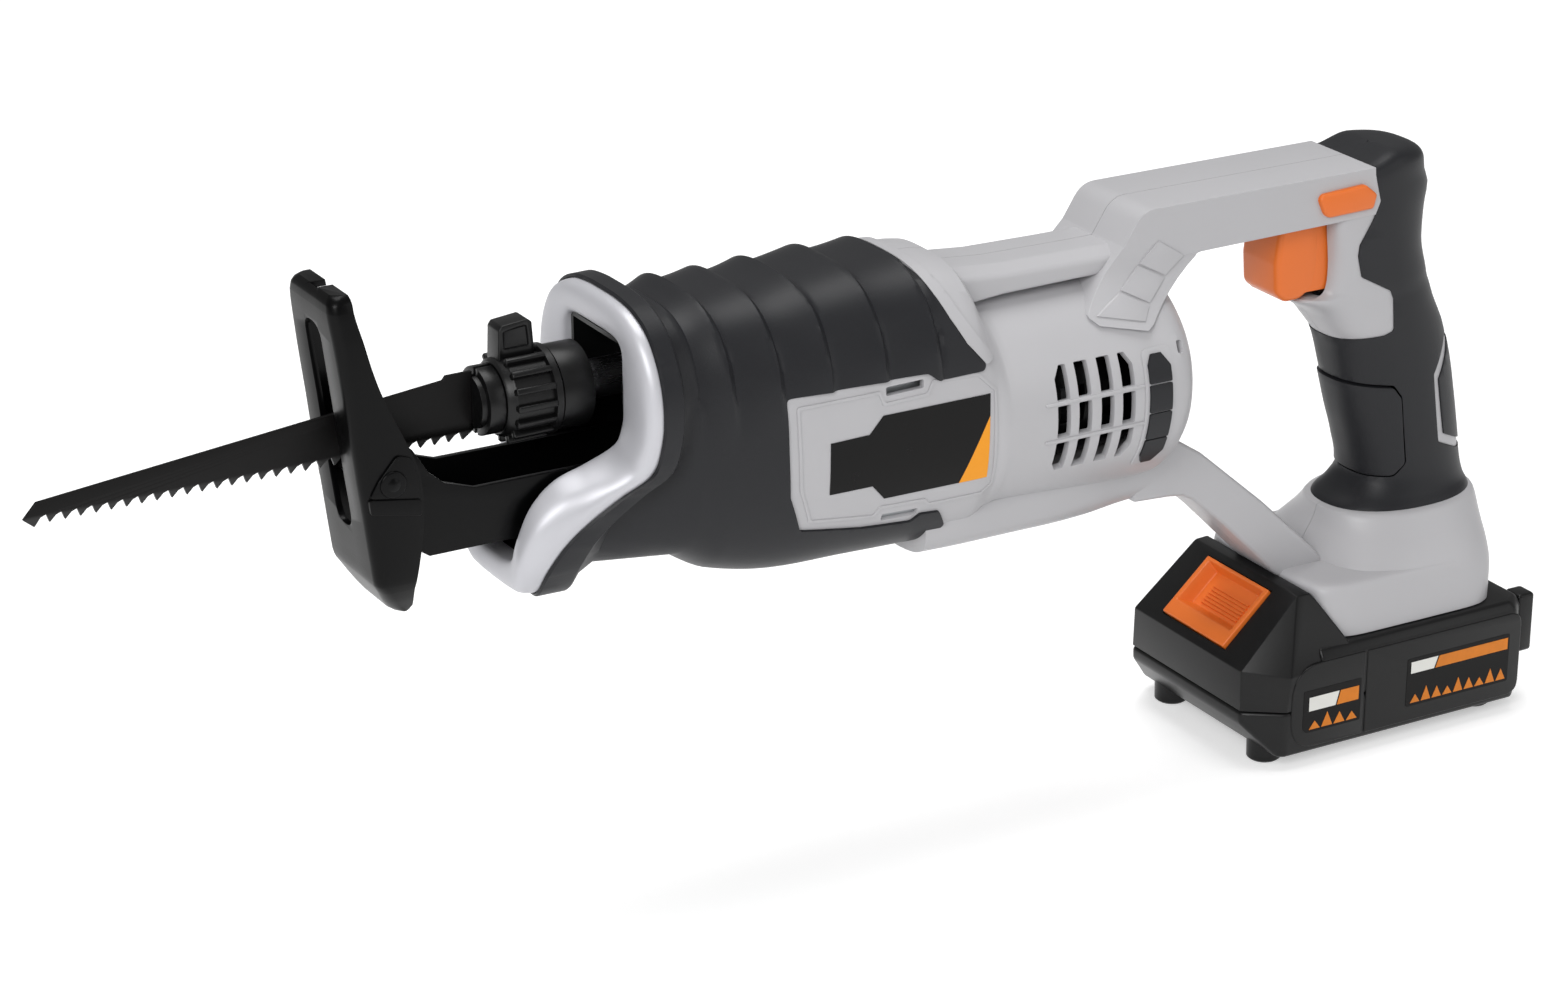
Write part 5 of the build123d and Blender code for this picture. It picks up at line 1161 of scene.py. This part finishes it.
@dataclass
class SideTrim:
    """Printed labels, their raised frames and the ribbed side bumpers."""

    frame_edge: Outline = (
        (-14.6, 163.4), (14.5, 163.6), (16.0, 159.6), (31.0, 160.0), (33.0, 163.8), (49.6, 163.2),
        (56.6, 156.6), (57.2, 124.0), (53.0, 121.4), (33.4, 121.6), (31.4, 123.6), (16.2, 124.2),
        (14.0, 121.4), (-9.4, 124.4), (-13.4, 136.0))
    label_edge: Outline = (
        (-3.0, 133.0), (-3.0, 149.9), (10.6, 150.3), (15.4, 155.6), (54.0, 155.6), (54.0, 127.6),
        (16.6, 127.8), (12.0, 133.0))
    amber_edge: Outline = ((43.6, 127.6), (54.0, 148.4), (54.0, 127.6))
    line: float = 1.0
    bumper_x: Point2 = (113.4, 121.8)
    bumper_z: Point2 = (119.4, 156.8)

    def patch(self, name: str, finish: Finish, inset: float, outlines: Sequence[Outline],
              x0: float, x1: float, step: float = 1.6) -> Piece:
        """Pieces of the body's own surface, on both sides.

        Args:
            name: name of the piece.
            finish: its surface finish.
            inset: how far it lies inside the body's outer face.
            outlines: the side views of its parts.
            x0: where the sampled surface starts.
            x1: where it ends.
            step: distance between sections.

        Returns:
            The open skin.
        """
        count = int((x1 - x0) / step) + 1
        rings = [BODY.ring(x0 + (x1 - x0) * i / count, inset, 144) for i in range(count + 1)]
        parts = []
        for outline in outlines:
            skin = Shape().loft(rings, caps=False).obj(name)
            parts.append(painted(cut_region(skin, outline, True), finish))
        return joined(name, *parts) if len(parts) > 1 else parts[0]

    def build(self) -> None:
        """Make the labels, their frames and the bumpers."""
        dark = self.patch("label_face", LABEL, 0.62, [self.label_edge], -6, 60)
        cut_region(dark, self.amber_edge, False)
        amber = self.patch("label_corner", AMBER, 0.62, [self.amber_edge], 40, 60)
        label = joined("side_label_prints", thickened(dark, 0.3, 0.0, 0.0), thickened(amber, 0.3, 0.0, 0.0))
        dressed(label, LABEL, "housing", "side_labels")
        ring = self.patch("label_frames", GREY, 0.9, [rounded(self.frame_edge, 1.2, 3)], -18, 60)
        cut_region(ring, rounded(self.inset(self.frame_edge, self.line), 0.9, 3), False)
        dressed(thickened(ring, 0.7, 0.35, 0.18), GREY, "housing")
        (x0, x1), (z0, z1) = self.bumper_x, self.bumper_z
        bumper = self.patch("bumper_ribs", CHARCOAL, 0.0, self.bumper_cells(), x0 - 1, x1 + 1, 1.2)
        dressed(thickened(bumper, 1.6, 1.1, 0.4), CHARCOAL, "housing", "side_bumpers")
        left, right, low, high = x0 - 1.5, x1 + 1.3, z0 - 1.5, z1 + 1.5
        around = rounded([(left, low), (right, low), (right, high), (left, high)], 2.4, 4)
        border = self.patch("bumper_borders", GREY, 0.0, [around], x0 - 3, x1 + 2.2, 1.2)
        dressed(thickened(border, 0.8, 0.45, 0.25), GREY, "housing")

    def bumper_cells(self) -> list[list[Point2]]:
        """The bumper's rubber cells, from the bottom up; the end ones have their corners cut."""
        (x0, x1), (z0, z1) = self.bumper_x, self.bumper_z
        count, gap = 4, 0.45
        cells = []
        for k in range(count):
            low = z0 + (z1 - z0) * k / count + gap / 2
            high = z0 + (z1 - z0) * (k + 1) / count - gap / 2
            bottom, top = [(x0, low), (x1, low)], [(x1, high), (x0, high)]
            if k == 0:
                bottom = [(x0, low + 3.0), (x0 + 1.6, low), (x1 - 3.0, low), (x1, low + 4.0)]
            if k == count - 1:
                top = [(x1, high - 4.0), (x1 - 3.0, high), (x0 + 1.6, high), (x0, high - 3.0)]
            cells.append(rounded(bottom + top, 0.4, 2))
        return cells

    @staticmethod
    def inset(outline: Outline, width: float) -> list[Point2]:
        """An outline drawn in by a width, each corner moved along its bisector."""
        out = []
        area = sum(x0 * z1 - x1 * z0 for (x0, z0), (x1, z1) in zip(outline, list(outline[1:]) + [outline[0]]))
        turn = 1 if area > 0 else -1
        for i, corner in enumerate(outline):
            here = Vector(corner)
            before = (here - Vector(outline[i - 1])).normalized()
            after = (Vector(outline[(i + 1) % len(outline)]) - here).normalized()
            n0, n1 = Vector((-before.y, before.x)) * turn, Vector((-after.y, after.x)) * turn
            push = (n0 + n1) / max(1 + n0.dot(n1), 0.4)
            out.append(tuple(here + push * width))
        return out


# ------------------------------------------------------------------ nose, clamp and shoe
@dataclass
class BladeClamp:
    """Ribbed twist collar with its lever tab, stepped hub and front cap."""

    collar_x: Point2 = (-99.0, -81.4)
    collar_r: float = 14.2
    bore_r: float = 9.5
    ribs: int = 16
    rib_half: float = 1.0
    lever_side: Outline = ((-97.6, 182.0), (-97.2, 192.4), (-96.2, 193.8), (-87.6, 194.7),
                                      (-86.2, 193.6), (-85.4, 182.0))
    lever_y: Point2 = (-2.2, 5.6)
    pocket_side: Outline = ((-95.4, 186.4), (-95.2, 192.0), (-88.0, 192.6), (-87.4, 186.4))

    def build(self) -> None:
        """Make the collar, and round the hub and cap."""
        (x0, x1), r = self.collar_x, self.collar_r
        body = [(x0, self.bore_r), (x0, r - 3.2), (x0 + 0.8, r - 2.4), (x0 + 2.4, r - 2.0),
                (x0 + 2.8, r - 1.7), (x1 - 3.0, r - 1.7), (x1 - 2.6, r - 0.35), (x1 - 0.5, r - 0.35),
                (x1, r - 0.9), (x1, self.bore_r)]
        rings = [circle(x, PLUNGER_Z, radius, 96) for x, radius in body + body[:1]]
        core = settle(Shape().loft(rings, caps=False).obj("collar_core"))
        rib = Shape().block((x0 + 2.0, -self.rib_half, PLUNGER_Z + r - 2.6),
                            (x1 - 2.4, self.rib_half, PLUNGER_Z + r + 0.15)).obj("collar_ribs")
        bevelled(rib, 0.55, 3)
        centre = (DATUM_X * MM, 0.0, PLUNGER_Z * MM)
        repeated(rib, Pattern.RING, Count=self.ribs, Centre=centre, Material=BLACK.material())
        lever = Shape().prism(self.lever_side, *self.lever_y).obj("lever")
        face = self.lever_y[0]
        carve(lever, Shape().prism(self.pocket_side, face - 1, face + 1).obj("lever_pocket"))
        bevelled(lever, 0.6, 3)
        collar = joined("twist_collar", painted(core, BLACK), rib, painted(lever, BLACK))
        dressed(collar, BLACK, "clamp_collar", "clamp_collar")
        for node in ("clamp_hub", "clamp_cap"):
            dressed(softened(node, node + "_rounded", 0.5), BLACK, "plunger", node)


@dataclass
class Shoe:
    """Drawn steel shoe with its folded lip and ears, its bracket and pivot."""

    sheet: float = 1.9
    half_y: float = 17.3
    corner: float = 3.4
    slot_half: float = 5.5
    # x and z of the face from the toe up to the top, its half-width, and how far its sides reach back
    rows: tuple[tuple[float, float, float, float], ...] = (
        (-134.6, 113.4, 9.4, 1.2), (-136.8, 114.0, 9.8, 4.0), (-139.0, 115.6, 10.8, 7.0),
        (-141.4, 118.9, 13.2, 8.8), (-143.8, 122.8, 15.6, 10.6), (-145.6, 126.0, 17.0, 12.6),
        (-146.5, 132.0, 17.3, 14.6), (-147.4, 139.0, 17.3, 16.6), (-148.6, 149.0, 17.3, 18.6),
        (-149.8, 158.0, 17.3, 19.0), (-150.5, 164.0, 17.3, 18.0), (-151.3, 170.0, 17.3, 16.2),
        (-152.2, 178.0, 17.3, 13.4), (-153.2, 186.0, 17.3, 11.0), (-154.2, 194.0, 17.2, 9.4),
        (-155.2, 202.0, 16.8, 8.4),
        (-156.0, 208.0, 16.2, 7.6), (-156.3, 211.4, 15.8, 7.2), (-156.1, 213.6, 15.3, 6.9),
        (-155.4, 215.2, 14.5, 6.0), (-154.2, 216.2, 13.2, 4.6))

    def solid(self, name: str, wall: float, back: float) -> Piece:
        """The pressing's outer form, or with a wall the hollow behind it, open at the back.

        Args:
            name: name of the piece.
            wall: how far its faces lie inside the outer ones.
            back: how far it reaches past the rear edges.

        Returns:
            The solid.
        """
        table = [(z, x, half, reach) for x, z, half, reach in self.rows]
        low, high = table[0][0], table[-1][0]
        heights = sorted({low + (high - low) * k / 44 for k in range(45)} | {row[0] for row in table})
        rings = []
        for z in heights:
            x, half, reach = along(table, z)
            x, half, rear = x + wall, half - wall, x + reach + back
            r = min(self.corner, 0.7 * (rear - x), half * 0.6)
            side = [(rear, half, z)]
            for k in range(9):
                a = math.pi / 2 * k / 8
                side.append((x + r - r * math.sin(a), half - r + r * math.cos(a), z))
            side.append((x, half * 0.3, z))
            rings.append([(px, -py, pz) for px, py, pz in side] + list(reversed(side)))
        if wall:
            mid = (low + high) / 2
            squeeze = 1 - 2 * wall / (high - low)
            rings = [[(x, y, mid + (z - mid) * squeeze) for x, y, z in ring] for ring in rings]
        return Shape().loft(rings).obj(name)

    def build(self) -> None:
        """Make the pressing with its slot and ears, and round the bracket and pins."""
        pan = self.solid("shoe_pan", 0.0, 0.0)
        carve(pan, self.solid("shoe_hollow", self.sheet, 30.0))
        w = self.slot_half
        opening = rounded([(-w, 141.0), (w, 141.0), (w, 206.0), (-w, 206.0)], w * 0.96, 8)
        slot = Shape().plate(opening, -170, -130)
        slot.verts = [(z, x, y) for x, y, z in slot.verts]
        carve(pan, slot.obj("shoe_slot"))
        notch = Shape().prism([(-154.4, 214.6), (-145, 213.4), (-145, 220), (-154.4, 220)], -2.6, 2.6)
        carve(pan, notch.obj("shoe_notch"))
        bevelled(pan, 0.5, 2, 38)
        ear = rounded([(-147.6, 154.6), (-144.6, 159.4), (-138.2, 166.6), (-133.6, 165.0), (-131.6, 157.0),
                       (-131.4, 151.6)], [1.0, 3.0, 2.4, 2.0, 2.0, 1.0], 5)
        ledge = rounded([(-147.9, 154.6), (-131.3, 151.8), (-131.3, 146.6), (-147.4, 149.8)], 1.0, 3)
        inner = self.half_y - 0.8
        sides = Shape().pair(ear, inner, self.half_y + 0.8).pair(ledge, inner, self.half_y + 1.3)
        ears = bevelled(sides.obj("shoe_ears"), 0.7, 3, 40)
        rivets = []
        for side in (-1, 1):
            head = Shape().lathe([(0.0, 0.01), (0.0, 2.6), (0.7, 2.4), (1.3, 1.6), (1.5, 0.01)], 0.0, 32)
            head.verts = [(y - 140.0, side * (self.half_y + 0.6 + x), z + 158.0) for x, y, z in head.verts]
            rivets.append(painted(settle(head.obj("shoe_rivet")), BLACK_STEEL))
        shoe = joined("shoe_pressing", painted(pan, BLACK_STEEL), painted(ears, BLACK_STEEL), *rivets)
        dressed(shoe, BLACK_STEEL, "shoe", "shoe")
        for node, name in (("shoe_bracket", "shoe_bracket_pressing"),
                           ("shoe_pivot_pins", "shoe_pivot_rivets")):
            dressed(softened(node, name, 0.6, 3), BLACK_STEEL, "housing", node)


# ------------------------------------------------------------------ controls
@dataclass
class Controls:
    """Trigger and lock-off bolt."""

    trigger_side: Outline = (
        (184.0, 184.2), (182.4, 178.0), (181.2, 168.0), (182.0, 157.6), (186.0, 154.2), (191.6, 154.4),
        (197.2, 157.4), (199.0, 165.0), (199.2, 175.0), (197.8, 184.2))
    # thin walls behind the lever that close the slot it slides in
    cheek_side: Outline = (
        (190.0, 156.8), (202.2, 156.8), (205.2, 160.2), (205.2, 184.0), (190.0, 184.0))
    bolt_side: Outline = (
        (190.7, 191.4), (192.0, 193.0), (209.3, 193.8), (214.3, 189.8), (213.0, 185.0), (195.0, 184.6),
        (193.2, 185.8))
    trigger_y: float = 10.0
    bolt_y: float = 19.3

    def build(self) -> None:
        """Make the trigger and the bolt."""
        outline = rounded(self.trigger_side, [0, 8, 8, 4, 4, 4, 2.4, 6, 6, 0], 5)
        lever = Shape().prism(outline, -self.trigger_y, self.trigger_y).obj("trigger_lever")
        bevelled(lever, 3.2, 5, 40)
        cheeks = Shape().pair(self.cheek_side, self.trigger_y - 0.9, self.trigger_y - 0.05).obj("cheeks")
        trigger = joined("trigger_lever_piece", painted(lever, ORANGE), painted(cheeks, ORANGE))
        dressed(trigger, ORANGE, "trigger", "trigger")
        bolt = Shape().prism(self.bolt_side, -self.bolt_y, self.bolt_y).obj("lock_off_bolt")
        dressed(bevelled(bolt, 1.0, 3, 25), ORANGE, "lock_off_button", "lock_off_button")


# ------------------------------------------------------------------ battery pack
@dataclass
class Pack:
    """Slide-on battery pack: faceted upper case, lower case, side panels, feet and release button."""

    x0: float = 158.5
    x1: float = 274.0
    half_y: float = 40.4
    panel_y: float = 40.8
    low_z: float = 5.0
    seam_z: float = 21.5
    seam_gap: float = 0.12
    panel_x: Point2 = (173.0, 273.0)
    panel_z: Point2 = (7.0, 37.4)
    groove_x: float = 203.5
    underside: Point2 = (10.5, 12.0)
    button_ends: tuple[Point2, Point2] = ((160.3, 38.6), (179.3, 55.7))
    button_y: float = 17.5
    foot_r: float = 6.0

    @staticmethod
    def hull(points: Sequence[Point3], name: str) -> Piece:
        """The convex solid of some corners and their mirror images, its edges rounded."""
        mesh = bpy.data.meshes.new(name)
        with editing(mesh) as bm:
            for x, y, z in points:
                for side in (-1, 1):
                    bm.verts.new(((x + DATUM_X) * MM, side * y * MM, z * MM))
            bmesh.ops.remove_doubles(bm, verts=bm.verts, dist=1e-6)
            inner = bmesh.ops.convex_hull(bm, input=bm.verts)["geom_interior"]
            spare = list({v for v in inner if isinstance(v, bmesh.types.BMVert)})
            bmesh.ops.delete(bm, geom=spare, context="VERTS")
            bmesh.ops.dissolve_limit(bm, angle_limit=math.radians(2), verts=bm.verts, edges=bm.edges)
            bmesh.ops.recalc_face_normals(bm, faces=bm.faces)
        return bevelled(linked(name, mesh), 1.1, 3, 12)

    def upper(self) -> Piece:
        """Upper case: sloped front with its facets, deck, rails and button pocket."""
        seam, y = self.seam_z + self.seam_gap, self.half_y
        body = self.hull([(158.5, 31.5, seam), (158.5, 31.0, 36.0), (181.8, 29.0, 57.6), (187.0, 29.5, 57.6),
                          (171.0, y, seam), (172.5, y, 34.0), (196.5, 38.4, 41.2), (200.0, 30.0, 41.2),
                          (200.0, y, seam), (200.0, y, 37.0)], "pack_front")
        deck = self.hull([(185.0, y, seam), (185.0, y, 38.0), (185.0, 38.4, 41.2), (266.0, 38.4, 41.2),
                          (272.0, 34.0, 41.2), (273.6, y - 5.5, 38.0), (268.0, y, 38.0), (274.0, y - 6, seam),
                          (268.0, y, seam)], "pack_deck")
        rails = Shape().block((190, -19.5, 40), (248, 19.5, 50.2)).block((190, -26, 46.2), (248, 26, 50.2))
        rails = bevelled(rails.obj("pack_rails"), 0.5, 2)
        carve(body, self.button_solid(0.5, 10.0, 8.0, "button_pocket"))
        settle(body, 24)
        return joined("pack_upper", painted(body, BLACK), painted(deck, BLACK), painted(rails, BLACK))

    def slope(self) -> tuple[Vector, Vector, Vector, Vector]:
        """The sloped face in the side view: the button's two ends, the way up it and the way out of it."""
        low, high = (Vector(end) for end in self.button_ends)
        run = (high - low).normalized()
        return low + run * 0.9, high - run * 0.1, run, Vector((-run.y, run.x))

    def button_solid(self, extra: float, depth: float, top: float, name: str) -> Piece:
        """The release button's block, or with extra room its pocket, square to the sloped face."""
        start, end, run, out = self.slope()
        a, b = start - run * extra, end + run * extra
        corners = [a - out * depth, b - out * depth, b + out * top, a + out * top]
        half = self.button_y + extra
        return Shape().prism([tuple(c) for c in corners], -half, half).obj(name)

    def button(self) -> None:
        """Release button: a framed scoop with a ribbed floor."""
        block = self.button_solid(0.0, 5.4, 0.8, "release_button")
        start, end, run, out = self.slope()
        a, b = start + run * 6.6, end - run * 1.5
        rings = []
        for depth, grow, half in ((1.2, 0.6, 15.6), (-1.6, -0.4, 14.6), (-4.2, -1.4, 13.6)):
            p, q = a - run * (grow * 1.6) + out * depth, b + run * grow * 0.7 + out * depth
            rings.append([(p.x, -half, p.y), (p.x, half, p.y), (q.x, half, q.y), (q.x, -half, q.y)])
        carve(block, Shape().loft(rings).obj("scoop"))
        bevelled(block, 0.5, 3, 25)
        floor = a.lerp(b, 0.24) - out * 4.2
        foot, crest, pitch = run * 0.4, run * 0.24, run * 1.35 * MM
        corners = [floor - foot, floor + foot, floor + crest + out * 0.7, floor - crest + out * 0.7]
        ribs = Shape().prism([tuple(c) for c in corners], -10.0, 10.0).obj("button_ribs")
        repeated(ribs, Pattern.ROW, Count=6, Step=(pitch.x, 0.0, pitch.y), Material=ORANGE.material())
        button = joined("pack_release_scoop", painted(block, ORANGE), ribs)
        dressed(button, ORANGE, "pack_release_button", "pack_release_button")

    def plan(self) -> list[Point2]:
        """The pack's outline from above."""
        x0, x1, y = self.x0, self.x1, self.half_y
        return [(x0, -31.5), (171.0, -y), (x1 - 6, -y), (x1, -y + 6), (x1, y - 6), (x1 - 6, y), (171.0, y),
                (x0, 31.5)]

    def side_panels(self) -> Piece:
        """Raised panels on the pack's flanks, split by a groove."""
        shape = Shape()
        (x0, x1), (z0, z1) = self.panel_x, self.panel_z
        left, right = self.groove_x - 0.4, self.groove_x + 0.4
        for a, b, radii, steps in ((x0, left, [11, 0.6, 0.6, 12], 8), (right, x1 - 3, [0.6, 5, 5, 0.6], 6)):
            panel = rounded([(a, z0), (b, z0), (b, z1), (a, z1)], radii, steps)
            shape.pair(panel, self.half_y - 1.0, self.panel_y)
        return painted(bevelled(shape.obj("pack_flanks"), 0.5, 3, 40), BLACK)

    def stickers(self) -> Piece:
        """Dark stickers with a white and amber band over a row of small triangles; they carry no words."""
        dark, amber, white = Shape(), Shape(), Shape()
        back, print_y = self.panel_y - 0.3, self.panel_y + 0.2
        # each sticker's left, right, bottom and top, its corner radii, and its band's left end, the two ends
        # of its white part, the start of its amber part, its right end, bottom and top
        for (x0, x1, z0, z1), radii, (a, b, c, d, e, f, low, high) in (
                ((177.7, 201.6, 12.6, 28.0), [2.4, 0.6, 0.6, 0.6],
                 (180.0, 191.0, 192.4, 191.6, 193.0, 200.6, 20.4, 25.4)),
                ((221, 265, 12.5, 30.2), 0.8,
                 (222.6, 232.4, 234.0, 233.0, 234.6, 264.2, 24.6, 28.8))):
            dark.pair(rounded([(x0, z0), (x1, z0), (x1, z1), (x0, z1)], radii, 3), back, self.panel_y + 0.12)
            white.pair([(a, low), (b, low), (c, high), (a, high)], back, print_y)
            amber.pair([(d, low), (f, low), (f, high), (e, high)], back, print_y)
            count = round((f - a) / 4.6)
            pitch = (f - a) / count
            for k in range(count):
                left = a + pitch * k
                peak = (left + pitch / 2, 16.6 + 1.1 * (k * 5 % 3))
                amber.pair([(left + 0.3, 13.6), (left + pitch - 0.3, 13.6), peak], back, print_y)
        return joined("pack_stickers", painted(settle(dark.obj("sticker_dark")), LABEL),
                      painted(settle(amber.obj("sticker_amber")), AMBER_DIM),
                      painted(settle(white.obj("sticker_white")), PRINT_WHITE))

    def build(self) -> None:
        """Make the case halves, flanks, stickers, feet, bumpers and button."""
        dressed(self.upper(), BLACK, "pack", "pack_upper_case")
        lower = Shape().plate(self.plan(), self.low_z, self.seam_z - self.seam_gap).obj("pack_lower")
        dx, dz = self.underside
        slope = [(self.x0 - 3 * dx / dz, self.low_z + dz + 3), (self.x0 + dx + 3 * dx / dz, self.low_z - 3),
                 (self.x0 - 20, self.low_z - 3), (self.x0 - 20, self.low_z + dz + 3)]
        carve(lower, Shape().prism(slope, -60, 60).obj("underside_cut"))
        bevelled(lower, 1.4, 3, 20)
        case = joined("pack_lower_shell", painted(lower, BLACK), self.side_panels())
        dressed(case, BLACK, "pack", "pack_lower_case")
        dressed(self.stickers(), LABEL, "pack")
        self.feet()
        posts = softened("pack_rear_bumpers", "pack_bumper_posts", 1.2, 3)
        dressed(posts, BLACK, "pack", "pack_rear_bumpers")
        self.button()

    def feet(self) -> None:
        """The four round feet, each standing where the CAD's foot stands."""
        r = self.foot_r
        foot = Shape().lathe([(0.0, 0.01), (0.0, r - 1), (0.7, r - 0.2), (9.0, r), (9.0, 0.01)], 0.0, 40)
        foot.verts = [(-z - DATUM_X, y, x) for x, y, z in foot.verts]
        marker = painted(settle(foot.obj("foot")), BLACK)
        low, high = box_mm("pack_feet")
        points = bpy.data.meshes.new("pack_foot_posts")
        places = [(x * MM, y * MM, 0) for x in (low.x + r, high.x - r) for y in (low.y + r, high.y - r)]
        points.from_pydata(places, [], [])
        feet = linked("pack_foot_posts", points)
        repeated(feet, Pattern.PLACE, Element=marker, Material=BLACK.material())
        bpy.data.objects.remove(marker)
        dressed(feet, BLACK, "pack", "pack_feet")


# ------------------------------------------------------------------ CAD pieces that stay
CAD_FINISHES = {finish.name: finish for finish in (
    GREY, SILVER, CHARCOAL, BLACK, ORANGE, BLACK_STEEL, BLADE_STEEL, BRIGHT, GEAR_STEEL, ALLOY, BRONZE,
    COPPER, MAGNET, CARBON, BOARD, WIRE, WRAP, LABEL)}


def dress_cad() -> None:
    """Give every CAD node the finish of its slot."""
    for row in frame["record"]["subparts"]:
        node = frame["nodes"][row["node"]]
        painted(node, CAD_FINISHES[row["material_slot"]])


@dataclass
class Blade:
    """Saw blade: rounded copy of the toothed blank with ground tooth edges."""

    ground_z: float = 162.4
    fade: float = 0.5

    def build(self) -> None:
        """Dress the blade, its finish changing where the teeth are ground."""
        blade = painted(softened("saw_blade", "saw_blade_ground", 0.12, 1), BLADE_STEEL)
        wires = Wiring(BLADE_STEEL.material().node_tree)
        shader = wires.nodes["Principled BSDF"]
        place = next(n for n in wires.nodes if n.type == "TEX_COORD")
        split = wires.add("ShaderNodeSeparateXYZ", {0: place.outputs["Object"]})
        edge = wires.add("ShaderNodeMapRange", {"Value": split.outputs["Z"],
                                                "From Min": (self.ground_z + self.fade) * MM,
                                                "From Max": (self.ground_z - self.fade) * MM})
        mix = wires.add("ShaderNodeMix", {"A": shader.inputs["Base Color"].links[0].from_socket,
                                          "B": (0.035, 0.035, 0.035, 1), "Factor": edge}, data_type="RGBA")
        wires.feed(shader, {"Base Color": mix.outputs["Result"]})
        dressed(blade, BLADE_STEEL, "blade", "saw_blade")


# ------------------------------------------------------------------ stage
@dataclass
class Stage:
    """Pale floor, soft lights and camera."""

    azimuth: float = -30.0
    elevation: float = 21.9
    distance: float = 1.26875
    aim: Point3 = (0.0, 0.0, 120.0)
    lens: float = 93.6
    floor_half: float = 6.0

    def lamp(self, name: str, place: Point3, energy: float, size: float) -> None:
        """A square soft light aimed at the saw, its place in metres."""
        light = bpy.data.lights.new(name, "AREA")
        light.energy = energy
        light.size = size
        rig = linked(name, light)
        rig.location = place
        rig.rotation_euler = (Vector((0, 0, 0.12)) - Vector(place)).to_track_quat("-Z", "Y").to_euler()

    def build(self) -> None:
        """Set up floor, world, lights and camera."""
        scene = bpy.context.scene
        scene.view_settings.view_transform = "Standard"
        mesh = bpy.data.meshes.new("floor")
        s = self.floor_half
        mesh.from_pydata([(-s, -s, 0), (s, -s, 0), (s, s, 0), (-s, s, 0)], [], [(0, 1, 2, 3)])
        floor = linked("floor", mesh)
        floor.data.materials.append(self.floor_material())
        self.world()
        self.lamp("key", (-1.3, -1.3, 1.25), 24.0, 1.0)
        self.lamp("fill", (1.4, -1.5, 0.9), 6.0, 1.3)
        self.lamp("top", (0.1, 0.3, 2.0), 22.0, 1.2)
        cam = bpy.data.cameras.new("camera")
        cam.lens = self.lens
        cam.sensor_width = 36.0
        rig = linked("camera", cam)
        a, e = math.radians(self.azimuth), math.radians(self.elevation)
        aim = Vector(((self.aim[0] + DATUM_X) * MM, self.aim[1] * MM, self.aim[2] * MM))
        back = Vector((math.sin(a) * math.cos(e), -math.cos(a) * math.cos(e), math.sin(e)))
        rig.location = aim + back * self.distance
        rig.rotation_euler = (-back).to_track_quat("-Z", "Y").to_euler()
        scene.camera = rig

    @staticmethod
    def floor_material() -> bpy.types.Material:
        """White floor that keeps the shadow, with a glow that only direct, mirror and glass rays see."""
        mat = bpy.data.materials.new("floor_white")
        mat.use_nodes = True
        wires = Wiring(mat.node_tree)
        wires.nodes.remove(wires.nodes["Principled BSDF"])
        ray = wires.add("ShaderNodeLightPath").outputs
        direct = wires.maths("MAXIMUM", ray["Is Camera Ray"], ray["Is Glossy Ray"])
        seen = wires.maths("MAXIMUM", direct, ray["Is Transmission Ray"])
        cover = wires.add("ShaderNodeBsdfDiffuse", {"Color": (0.86, 0.86, 0.86, 1)})
        glow = wires.add("ShaderNodeEmission", {"Strength": wires.maths("MULTIPLY", seen, 0.42)})
        both = wires.add("ShaderNodeAddShader", {0: cover, 1: glow})
        wires.feed(wires.nodes["Material Output"], {"Surface": both})
        return mat

    @staticmethod
    def world() -> None:
        """Soft even sky that the camera sees as white."""
        world = bpy.data.worlds.new("studio")
        bpy.context.scene.world = world
        world.use_nodes = True
        wires = Wiring(world.node_tree)
        ray = wires.add("ShaderNodeLightPath").outputs["Is Camera Ray"]
        level = wires.add("ShaderNodeMapRange", {"Value": ray, "To Min": 0.3, "To Max": 1.0})
        wires.feed(wires.nodes["Background"], {"Color": (1, 1, 1, 1), "Strength": level})


def main() -> None:
    """Build the saw's pieces in order and set the stage."""
    dress_cad()
    for part in (Boot(), BEZEL, Housing(), HANDLE, SideTrim(), BladeClamp(), Blade(), Shoe(), Controls(),
                 Pack()):
        LOG.info("building %s", type(part).__name__)
        part.build()
    Stage().build()


if __name__ == "__main__":
    main()
